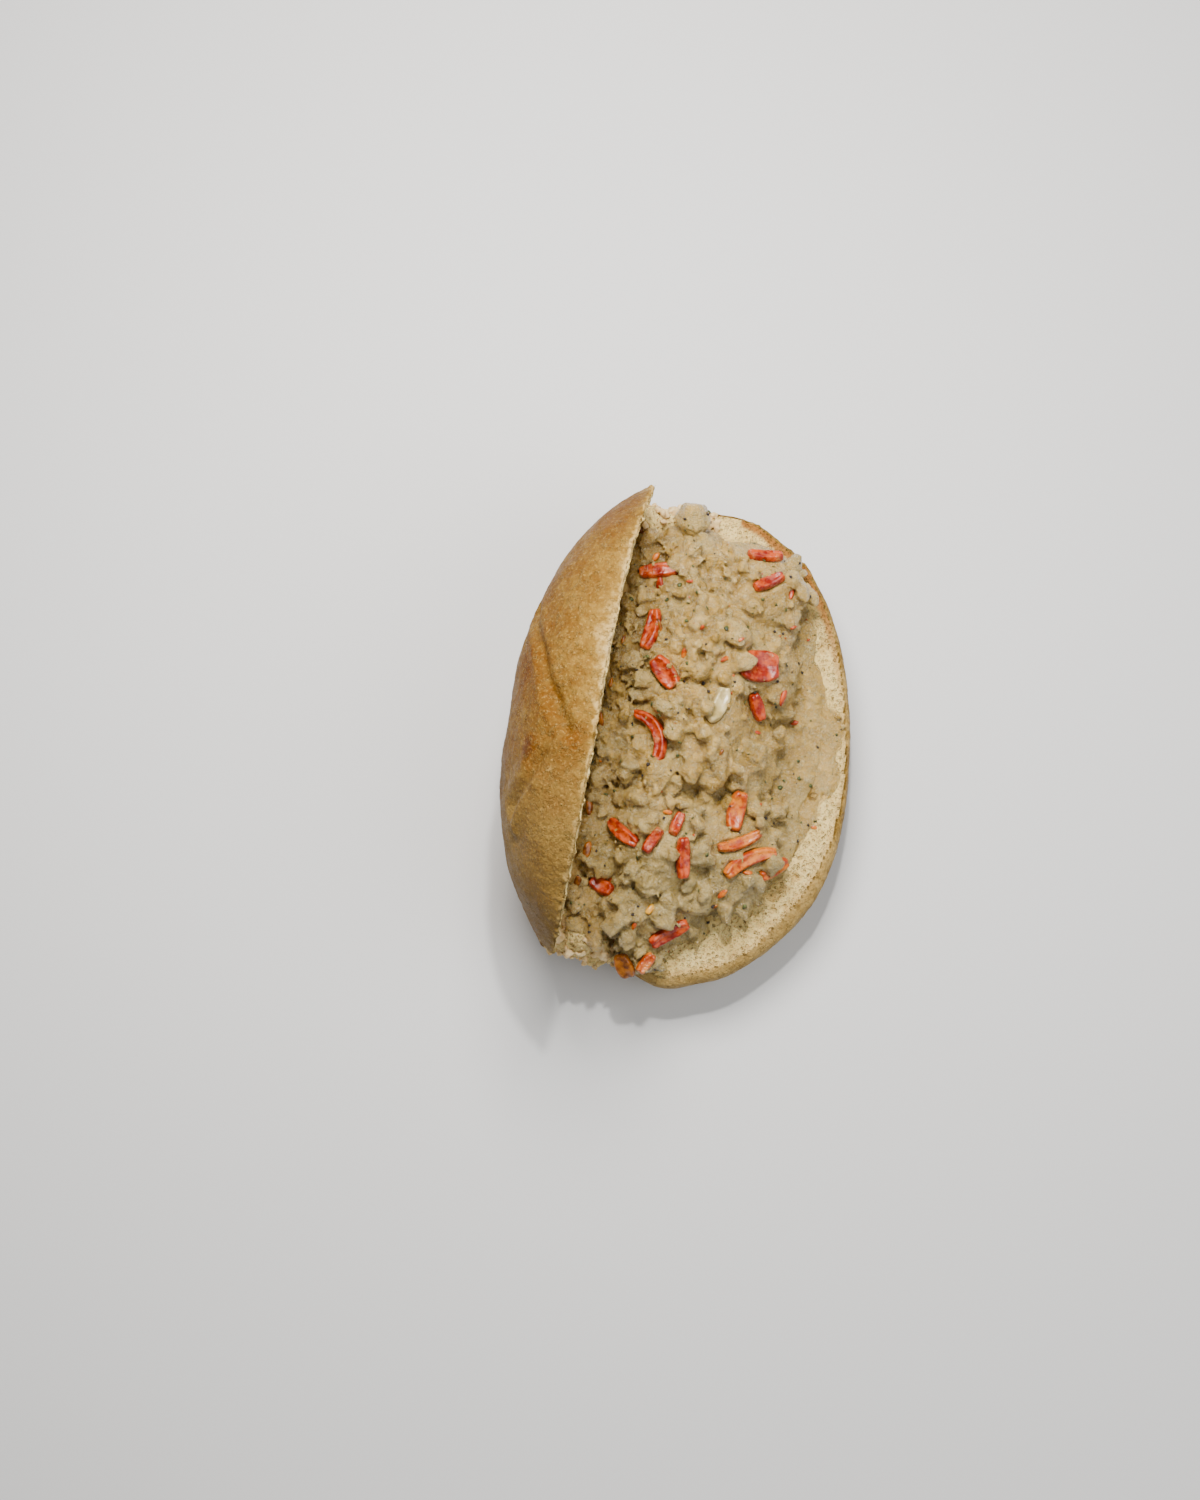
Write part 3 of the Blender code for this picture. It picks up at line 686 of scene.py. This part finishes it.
def soaked_share(places):
    """1 where sauce covers the base's cut face, 0 where its crumb is dry in an uneven band beside the rim."""
    x, y, z = places.T
    dry_north = np.exp(-(((y - 62.0) / 27.0) ** 2)) * 28.0
    dry_south = np.exp(-(((y + 62.0) / 30.0) ** 2)) * 30.0
    rim = 14.0 + 42.0 * np.sqrt(np.clip(1.0 - ((y + 1.0) / 81.0) ** 2, 0.0, 1.0))
    inside = rim - 2.2 - dry_north - dry_south - x + 3.0 * field(places, 9.0, 14.0, 2)
    ragged = 8.0 * field(places, 10.0, 15.0, 2)
    on_lid = step(62.0 - z + ragged, 0.0, 18.0) * step(62.0 - np.abs(y) + ragged, 0.0, 14.0)
    on_base = step(inside, 0.0, 6.0) * step(DRY_FROM - np.abs(y), 0.0, 5.0)
    return np.where(z < CUT_HEIGHT + 3.0, on_base, on_lid * 0.6)


def border_of(places, edges, mask):
    """The places where crust and crumb meet."""
    border = np.abs(mask[edges[:, 0]] - mask[edges[:, 1]]) > 0.02
    return places[np.unique(edges[border].ravel())]


def lip_width(places):
    """How far the crust curls in over the edge of the base's cut face at each place."""
    x, y, z = places.T
    on_base = (np.abs(z - CUT_HEIGHT) < CUT_BAND) & (x > -6.0)
    width = 0.9 + 0.8 * step(x, 20.0, 50.0) + 2.4 * step(-y, 6.0, 44.0)
    return on_base * (width + 0.5 * field(places, 14.0, 81.0))


def make_bread(crust, crumb):
    """The hinged roll in two pieces: its crust, and the crumb of its cut and torn faces."""
    draw = np.random.default_rng(3)
    mesh = remeshed([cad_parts["roll"].data], BREAD_VOXEL)
    edges = edges_of(mesh)
    places, normals = points_of(mesh)
    mask = step(smoothed(crumb_mask(places, normals), edges, 4), 0.35, 0.65)
    from_edge = nearest_distance(places, border_of(places, edges, mask), EDGE_REACH)
    lip = lip_width(places)
    inside = np.clip(lip - from_edge, 0.0, None) * (mask > 0.5)
    places[:, 2] -= np.minimum(0.5 * inside * inside / np.maximum(lip, 0.1), 2.0)
    mask = step(smoothed(np.where(inside > 0.0, 0.0, mask), edges, 3), 0.35, 0.65)
    from_rim = nearest_distance(places, border_of(places, edges, mask), EDGE_REACH)

    loose = step(from_rim, 0.2, 2.2)
    places = smoothed(places, edges, 45, (0.03 + 0.97 * loose) * np.where(mask < 0.5, 1.0, 0.35))
    move_points(mesh, places)
    _, normals = points_of(mesh)

    soaked = soaked_share(places)
    pits = pore_depth(places, mask, draw) * step(from_rim, 0.6, 1.6) * mask * (1.0 - 0.9 * soaked)
    holes = hole_depth(places, tree_of(mesh)) * (mask > 0.5) * (np.abs(places[:, 2] - CUT_HEIGHT) < 4.0)
    pits = np.maximum(pits, holes)
    crumb_relief = 0.45 * field(places, 6.0, 1.0, 2) + 0.25 * field(places, 2.2, 2.0, 2)
    crust_relief = 0.35 * field(places, 16.0, 4.0, 2) + 0.14 * field(places, (3.0, 1.6, 4.0), 6.0, 2)
    crust_relief -= crease_depth(places, tree_of(mesh))
    on_lid = (places[:, 0] < LID_FACE + 8.0) & (places[:, 2] > 40.0)
    torn = np.where(on_lid, 0.8, 0.35) * field(places, 2.2, 9.0, 2) * np.exp(-((from_rim / 1.2) ** 2))
    shift = np.where(mask > 0.5, crumb_relief * step(from_rim, 0.2, 2.0) - pits, crust_relief) + torn
    under = step(2.0 - places[:, 2], 0.0, 1.5)
    places = places + normals * (shift * (1.0 - under))[:, None]
    places[:, 2] = np.maximum(places[:, 2], 0.0)
    move_points(mesh, places)

    fringe = step(0.7 + 1.1 * field(places, 4.0, 13.0, 2) - from_rim, -0.3, 0.6)
    paler = 0.34 * fringe + 0.14 * step(6.0 - from_rim, 0.0, 5.0)
    set_value(mesh, "bake", bake_tone(places, normals, tree_of(mesh)) - on_lid * paler)
    # Painted shade: a share that darkens the crust towards the south end, where less light falls.
    painted_south_shade = np.where(places[:, 0] > 0.0, 0.9, 1.0 * on_lid) * step(-places[:, 1], 8.0, 46.0)
    set_value(mesh, "painted_south_shade", painted_south_shade)
    # How deep each pore or hole is, used only to paint shade into it.
    set_value(mesh, "painted_pit_shade", np.clip(pits, 0.0, 1.0))
    north = step(places[:, 1], 20.0, 60.0)
    rim = step(RIM_BAND * (1.0 + 0.6 * north) - from_rim + 0.6 * field(places, 2.0, 12.0), 0.0, 1.0)
    set_value(mesh, "rim", rim * np.where(places[:, 0] < 6.0, 0.1, 0.3 + 0.7 * north))
    set_value(mesh, "soaked", soaked)
    new_object("roll_crust", part_of_mesh(mesh, mask < 0.5, "roll_crust"), crust, ["roll"])
    return new_object("roll_crumb", part_of_mesh(mesh, mask >= 0.5, "roll_crumb"), crumb)


# ---- Filling -------------------------------------------------------------------------------------

STRIPS = sorted(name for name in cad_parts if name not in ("roll", "filling"))


def make_spread(crumb_piece, material):
    """Sauce spread over the base's cut face, thinning out into the dry crumb beside the rim."""
    source = crumb_piece.data
    places, _ = points_of(source)
    soaked = soaked_share(places)
    covered = (soaked > 0.1) & (np.abs(places[:, 2] - CUT_HEIGHT) < CUT_BAND)
    mesh = part_of_mesh(source, covered, "sauce_spread")
    edges = edges_of(mesh)
    places, _ = points_of(mesh)
    places = smoothed(places, edges, 8, 0.8)
    thick = 1.3 * (soaked_share(places) - 0.45) + 0.3 * field(places, 7.0, 91.0, 2)
    thick += 0.16 * field(places, 1.9, 92.0, 3)
    holes = hole_depth(places, tree_of(mesh))
    places[:, 2] += np.minimum(thick, 1.2) - 1.2 * holes
    move_points(mesh, places)
    # Hollowness for the sauce's colour: the larger holes get painted shade.
    set_value(mesh, "cavity", 0.45 + 0.25 * field(places, 5.0, 93.0) + 0.6 * np.minimum(holes, 1.0))
    set_value(mesh, "piece", 0.5 + 0.5 * field(places, 5.0, 94.0))
    set_value(mesh, "by_lid", np.zeros(len(places)))
    set_value(mesh, "pooled", np.zeros(len(places)))
    return new_object("sauce_spread", mesh, material)


def spread_places(draw, count):
    """Places where sauce covers the base's cut face."""
    bread = tree_of(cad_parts["roll"].data)
    across, along = draw.uniform(-12.0, 58.0, 8 * count), draw.uniform(-76.0, 76.0, 8 * count)
    spots = np.column_stack((across, along, np.full(8 * count, CUT_HEIGHT)))
    found = []
    for x, y, _ in spots[soaked_share(spots) > 0.55]:
        hit = bread.ray_cast(Vector((x, y, 45.0)) * MM, Vector((0.0, 0.0, -1.0)))[0]
        if hit and abs(hit.z / MM - CUT_HEIGHT) < 3.0:
            found.append(np.array(hit) / MM)
    return np.array(found[:count])


def hollowness(mesh, places, edges, rounds):
    """How far each vertex lies below the skin smoothed so many times, in millimetres: over 0 in a hollow."""
    move_points(mesh, places)
    _, normals = points_of(mesh)
    return np.einsum("ij,ij->i", smoothed(places, edges, rounds) - places, normals)


def filling_pieces(solid, draw):
    """The meshes that lie on the heap, and the places of its chunks.

    They are chunks and nubs of turkey, drops of sauce that lap over the strips, and lumps in the sauce on
    the base's cut face. None of them covers a strip's face but the drops.
    """
    strips = [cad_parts[name].data for name in STRIPS]
    strip_tree = point_tree(np.concatenate([points_of(mesh)[0] for mesh in strips]))

    def exposed(spot, normal, room=1.8):
        face = LID_FACE + LID_LEAN * (spot[:, 2] - CUT_HEIGHT)
        above = (normal[:, 2] > -0.25) & (spot[:, 2] > CUT_HEIGHT + 0.6) & (spot[:, 0] > face + 1.5)
        above &= spot[:, 1] < 62.0
        return np.array([ok and strip_tree.find(place)[2] > room for place, ok in zip(spot, above)])

    def granular(spot, normal):
        fine = field(spot, 8.0, 41.0) + 0.3 * draw.normal(size=len(spot))
        fine -= 0.8 * step(spot[:, 0], -16.0, 8.0)
        return exposed(spot, normal, 0.8) & (fine > -0.2)

    places, normals = scatter(solid, CHUNKS, draw, exposed)
    sizes = sizes_between(CHUNK_SIZES, draw, CHUNKS, 1.8)
    sizes = np.minimum(sizes, 1.5 + 0.9 * (places[:, 2] - CUT_HEIGHT))
    places = places + normals * (0.17 * sizes)[:, None]
    chunks = scattered_mesh("chunks", hull_shapes(16, 10, random.Random(5)), places, sizes, draw, None, 0.5)
    nub_places, nub_normals = scatter(solid, NUBS, draw, granular)
    nub_sizes = sizes_between(NUB_SIZES, draw, NUBS, 1.5)
    nub_places = nub_places + nub_normals * (0.3 * nub_sizes + 0.4)[:, None]
    nub_shapes = hull_shapes(12, 9, random.Random(6))
    nubs = scattered_mesh("nubs", nub_shapes, nub_places, nub_sizes, draw, None, 0.5)
    lap_places = [points_of(mesh)[0][draw.integers(0, len(mesh.vertices), LAPS)] for mesh in strips]
    lap_places = np.concatenate(lap_places)
    lap_sizes = draw.uniform(*LAP_SIZES, len(lap_places))
    lap_shapes = hull_shapes(8, 12, random.Random(7))
    laps = scattered_mesh("laps", lap_shapes, lap_places, lap_sizes, draw, None, 0.5)

    spots = spread_places(draw, SPREAD_LUMPS) + np.array((0.0, 0.0, 0.5))
    spots = np.array([spot for spot in spots if strip_tree.find(spot)[2] > 3.5])
    lump_sizes = sizes_between(LUMP_SIZES, draw, len(spots), 2)
    lump_shapes = hull_shapes(10, 10, random.Random(9))
    lumps = scattered_mesh("lumps", lump_shapes, spots, lump_sizes, draw, None, 0.5)
    return [chunks, nubs, laps, lumps], places


def make_filling(material):
    """Heap of turkey in sauce: the solid with many small pieces on it, under one skin of sauce."""
    draw = np.random.default_rng(11)
    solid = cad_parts["filling"].data
    pieces, chunk_places = filling_pieces(solid, draw)
    mesh = remeshed([solid, *pieces], FILLING_VOXEL)
    edges = edges_of(mesh)
    skin, _ = points_of(mesh)
    by_lid = step(LID_FACE + 20.0 + 6.0 * field(skin, 9.0, 51.0) - skin[:, 0], 0.0, 13.0)
    across = 0.7 * step(skin[:, 0], -8.0, 22.0)
    saucy = step(field(skin, 13.0, 21.0, 2) + across, -0.2, 0.5) * (1.0 - by_lid)
    skin = smoothed(skin, edges, 1, 0.6)
    skin = smoothed(skin, edges, 6, 0.8 * saucy)
    skin = smoothed(skin, edges, 10, 0.9 * step(CUT_HEIGHT + 3.0 - skin[:, 2], 0.0, 2.0))
    hollow = hollowness(mesh, skin, edges, 6)
    skin = smoothed(skin, edges, 12, 0.8 * step(hollow, 0.1, 0.4) * (1.0 - 0.6 * by_lid))
    move_points(mesh, skin)
    _, facing = points_of(mesh)
    grain = 0.6 * field(skin, 3.4, 33.0, 2) + 0.24 * field(skin, 1.3, 31.0, 2)
    skin = skin + facing * (grain * (1.0 - 0.45 * saucy))[:, None]
    move_points(mesh, skin)

    # How hollow the skin is: sauce gathers in the hollows, and the deepest of them get painted shade.
    set_value(mesh, "cavity", np.clip(0.45 + hollowness(mesh, skin, edges, 16) / 1.6, 0.0, 1.0))
    # Painted shadow of the lid: a share that darkens the hollows beside it.
    set_value(mesh, "by_lid", by_lid * step(hollowness(mesh, skin, edges, 30), -0.9, 0.5))
    pooled = step(-skin[:, 1] + 14.0 * field(skin, 16.0, 52.0), 12.0, 34.0) * (1.0 - by_lid)
    set_value(mesh, "pooled", np.maximum(pooled, 0.7 * step(field(skin, 11.0, 53.0, 2), 0.15, 0.5)))
    tree = point_tree(chunk_places)
    tones = draw.random(len(chunk_places))
    owner = np.array([tree.find(place)[1] for place in skin])
    set_value(mesh, "piece", smoothed(tones[owner], edges, 2))
    return new_object("turkey_and_sauce", mesh, material, ["filling"])


# ---- Strips --------------------------------------------------------------------------------------


def make_strip(name, material):
    """A strip of pepper or onion with rounded edges and a slightly wrinkled face."""
    bm = bmesh.new()
    bm.from_mesh(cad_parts[name].data)
    bmesh.ops.remove_doubles(bm, verts=bm.verts, dist=0.01 * MM)
    solid = bpy.data.meshes.new(name)
    bm.to_mesh(solid)
    bm.free()

    def add_rounding(thing):
        first = thing.modifiers.new("cuts", "SUBSURF")
        first.subdivision_type = "SIMPLE"
        first.levels = first.render_levels = 1
        second = thing.modifiers.new("round", "SUBSURF")
        second.levels = second.render_levels = 2

    mesh = evaluated_mesh(solid, add_rounding)
    mesh.name = name + "_look"
    smooth = smoothed(points_of(mesh)[0], edges_of(mesh), 4, 0.6)
    move_points(mesh, smooth)
    places, normals = points_of(mesh)
    seed = sum(ord(letter) for letter in name) % 97
    swollen = 0.15 + 0.05 * field(places, 1.6, seed, 2) + 0.2 * field(places, 5.0, seed + 3.0)
    places = places + normals * swollen[:, None]
    move_points(mesh, places)
    set_value(mesh, "film", 0.2 * field(places, 7.0, seed + 0.5))
    new_object(name + "_look", mesh, material, [name])


# ---- Flecks --------------------------------------------------------------------------------------


def make_flecks(top, name, material, count, sizes, seed, flatness, lift):
    """Small flakes lying on the sauce."""
    draw = np.random.default_rng(seed)

    def on_top(spot, normal):
        return (normal[:, 2] > 0.05) & (spot[:, 2] > CUT_HEIGHT - 0.5)

    places, normals = scatter(top, count, draw, on_top)
    lengths = sizes_between(sizes, draw, count, 2.5)
    places = places + normals * (lift * lengths)[:, None]
    shapes = hull_shapes(8, 10, random.Random(seed), flatness)
    mesh = scattered_mesh(name, shapes, places, lengths, draw, normals)
    new_object(name, mesh, material)


# Small pieces whose place shows: pixel of the photograph, length, turn in the picture, kind.
BITS = (
    ((782, 697), 6.0, 80.0, "red"), ((795, 723), 3.2, 20.0, "orange"), ((793, 627), 2.6, 10.0, "orange"),
    ((790, 594), 4.0, 70.0, "red"), ((690, 581), 2.4, 0.0, "red"), ((685, 651), 4.6, 60.0, "orange"),
    ((661, 583), 5.0, 70.0, "red"), ((656, 557), 4.0, 60.0, "orange"), ((763, 586), 4.6, 30.0, "yellow"),
    ((757, 733), 2.6, 0.0, "orange"), ((724, 659), 3.4, 20.0, "orange"), ((702, 627), 2.6, 80.0, "red"),
    ((817, 831), 2.4, 0.0, "orange"), ((748, 874), 3.6, 10.0, "orange"), ((722, 893), 4.6, 60.0, "orange"),
    ((715, 906), 2.2, 50.0, "brown"), ((650, 909), 4.4, 60.0, "yellow"), ((634, 925), 3.2, 60.0, "orange"),
    ((589, 807), 5.5, 80.0, "brown"), ((643, 528), 9.0, 78.0, "brown"), ((602, 718), 5.5, 80.0, "brown"),
    ((578, 880), 5.0, 70.0, "brown"), ((660, 627), 8.0, 60.0, "brown"), ((587, 850), 5.5, 75.0, "brown"),
    ((721, 752), 2.4, 50.0, "brown"), ((624, 640), 3.0, 70.0, "brown"), ((612, 683), 3.4, 80.0, "brown"),
    ((741, 640), 2.6, 30.0, "orange"), ((668, 812), 3.0, 0.0, "orange"), ((610, 880), 2.4, 40.0, "orange"),
)


def make_bits(top, materials):
    """The small pieces of pepper and browned onion at their own places on the heap, one mesh a kind."""
    tree = tree_of(top)
    draw = random.Random(31)
    for kind, (material, slot) in materials.items():
        shapes = hull_shapes(6, 14, draw, 0.8)
        vertices, faces, start = [], [], 0
        for index, ((u, v), length, turn, bit_kind) in enumerate(BITS):
            if bit_kind != kind:
                continue
            shape, triangles = shapes[index % len(shapes)]
            middle = under_pixel(tree, u, v)
            up = tree.find_nearest(Vector(middle) * MM)[1]
            along = Matrix.Rotation(math.radians(turn + CAMERA_AZIMUTH), 3, "Z") @ Vector((1.0, 0.0, 0.0))
            side = up.cross(along).normalized()
            axes = np.array((side.cross(up), side, up))
            size = np.array((1.25 * length, length * draw.uniform(0.6, 0.75), min(2.8, 0.6 * length)))
            vertices.append(shape * size @ axes + middle + 0.22 * size[2] * np.array(up))
            faces.append(triangles + start)
            start += len(shape)
        mesh = bpy.data.meshes.new(kind + "_bits")
        mesh.from_pydata((np.concatenate(vertices) * MM).tolist(), [], np.concatenate(faces).tolist())

        def add_rounding(thing):
            modifier = thing.modifiers.new("round", "SUBSURF")
            modifier.levels = modifier.render_levels = 2

        new_object(kind + "_bits", evaluated_mesh(mesh, add_rounding), material)


# A patch of torn crumb at the lid's free edge: pixel of the photograph.
TORN_PATCH = (603, 738)


def make_tufts(crumb_piece, material):
    """Torn crumb standing up at the two ends of the hinge and at one patch of the lid's free edge."""
    draw = np.random.default_rng(17)

    def torn(spot, normal):
        x, y, z = spot.T
        ragged_end = (np.abs(y) > TORN_FROM + 2.0) & (x < 0.0) & (z > CUT_HEIGHT - 3.0) & (z < FOLD_TOP)
        return ragged_end & (normal[:, 2] > -0.4)

    def lid_edge(spot, normal):
        return (np.linalg.norm(spot - patch, axis=1) < 7.0) & (normal[:, 0] > 0.3)

    patch = under_pixel(tree_of(crumb_piece.data), *TORN_PATCH)
    pieces = []
    for count, keep, sizes in ((TUFTS, torn, TUFT_SIZES), (PATCH_TUFTS, lid_edge, PATCH_TUFT_SIZES)):
        places, normals = scatter(crumb_piece.data, count, draw, keep)
        lengths = sizes_between(sizes, draw, count, 2)
        places = places + normals * (0.2 * lengths)[:, None]
        shapes = hull_shapes(10, 10, random.Random(count))
        pieces.append(scattered_mesh("tufts", shapes, places, lengths, draw, None, 0.4))
    mesh = remeshed(pieces, TUFT_VOXEL)
    edges = edges_of(mesh)
    places = smoothed(points_of(mesh)[0], edges, 3, 0.6)
    move_points(mesh, places)
    _, normals = points_of(mesh)
    move_points(mesh, places + normals * (0.25 * field(places, 1.3, 71.0, 2))[:, None])
    mesh.name = "torn_crumb"
    new_object("torn_crumb", mesh, material)


# ---- Stage ---------------------------------------------------------------------------------------


def add_camera():
    data = bpy.data.cameras.new("camera")
    data.lens, data.sensor_width = LENS, SENSOR
    data.clip_start, data.clip_end = 0.05, 20.0
    camera = bpy.data.objects.new("camera", data)
    back = direction(CAMERA_AZIMUTH, CAMERA_ELEVATION)
    camera.location = camera_place() * MM
    camera.rotation_euler = (-back).to_track_quat("-Z", "Y").to_euler()
    bpy.context.scene.collection.objects.link(camera)
    bpy.context.scene.camera = camera


def add_lamp(name, azimuth, elevation, distance, size, power, colour):
    """A round lamp aimed at the middle of the sandwich's foot, from a distance in millimetres."""
    data = bpy.data.lights.new(name, "AREA")
    data.shape, data.size, data.energy, data.color = "DISK", size * MM, power, colour
    lamp = bpy.data.objects.new(name, data)
    back = direction(azimuth, elevation)
    lamp.location = back * distance * MM
    lamp.rotation_euler = (-back).to_track_quat("-Z", "Y").to_euler()
    bpy.context.scene.collection.objects.link(lamp)


def add_floor():
    mesh = bpy.data.meshes.new("floor")
    bm = bmesh.new()
    bmesh.ops.create_grid(bm, x_segments=1, y_segments=1, size=3.0)
    bm.to_mesh(mesh)
    bm.free()
    paint = Paint("floor", roughness=0.7)
    paint.set("Base Color", (0.68, 0.675, 0.67, 1.0))
    mesh.materials.append(paint.material)
    floor = bpy.data.objects.new("floor", mesh)
    bpy.context.scene.collection.objects.link(floor)


def light_the_world(strength):
    world = bpy.data.worlds.new("studio")
    world.use_nodes = True
    background = world.node_tree.nodes["Background"]
    background.inputs["Color"].default_value = (1.0, 0.985, 0.96, 1.0)
    background.inputs["Strength"].default_value = strength
    bpy.context.scene.world = world


# ---- Everything ----------------------------------------------------------------------------------


def main():
    crumb = crumb_material()
    crumb_piece = make_bread(crust_material(), crumb)
    torn_crumb = plain_material("torn_crumb", srgb(196, 160, 100), srgb(226, 200, 150), 3.0, 0.8)
    make_tufts(crumb_piece, torn_crumb)
    sauce = filling_material()
    spread = make_spread(crumb_piece, sauce)
    heap = make_filling(sauce)
    top = joined([spread.data, heap.data])
    red = pepper_material("red_pepper", srgb(128, 22, 2), srgb(186, 70, 10))
    orange = pepper_material("orange_pepper", srgb(156, 52, 2), srgb(204, 112, 12))
    onion = plain_material("onion", srgb(156, 134, 78), srgb(204, 184, 130), 4.0, 0.25)
    browned = plain_material("browned_onion", srgb(84, 38, 6), srgb(164, 96, 26), 2.2, 0.22)
    kinds = {"red_pepper": red, "orange_pepper": orange, "onion": onion}
    for name in STRIPS:
        kind = name.rsplit("_", 1)[0]
        make_strip(name, browned if name == "onion_02" else kinds[kind])
    pepper = plain_material("black_pepper", srgb(24, 20, 18), srgb(60, 48, 38), 0.6, 0.6)
    herbs = plain_material("herbs", srgb(36, 46, 18), srgb(92, 98, 44), 0.8, 0.5)
    make_flecks(top, "black_pepper_specks", pepper, 230, (0.5, 1.7), 71, 0.7, 0.3)
    make_flecks(top, "herb_flecks", herbs, 300, (0.6, 2.1), 72, 0.3, 0.25)
    yellow = plain_material("yellow_pepper", srgb(196, 128, 14), srgb(222, 168, 50), 2.0, 0.3)
    make_bits(top, {"red": (red, "red_pepper"), "orange": (orange, "orange_pepper"),
                    "brown": (browned, "onion"), "yellow": (yellow, "orange_pepper")})
    make_flecks(top, "orange_crumbs", orange, 46, (0.5, 1.5), 74, 0.5, 0.1)
    add_floor()
    add_camera()
    add_lamp("key", 204.0, 63.0, 520.0, 240.0, 4.3, (1.0, 0.97, 0.93))
    add_lamp("fill", 80.0, 58.0, 1000.0, 800.0, 4.9, (0.95, 0.98, 1.0))
    add_lamp("glint", 190.0, 73.0, 640.0, 30.0, 2.2, (1.0, 0.99, 0.96))
    light_the_world(0.3)


main()
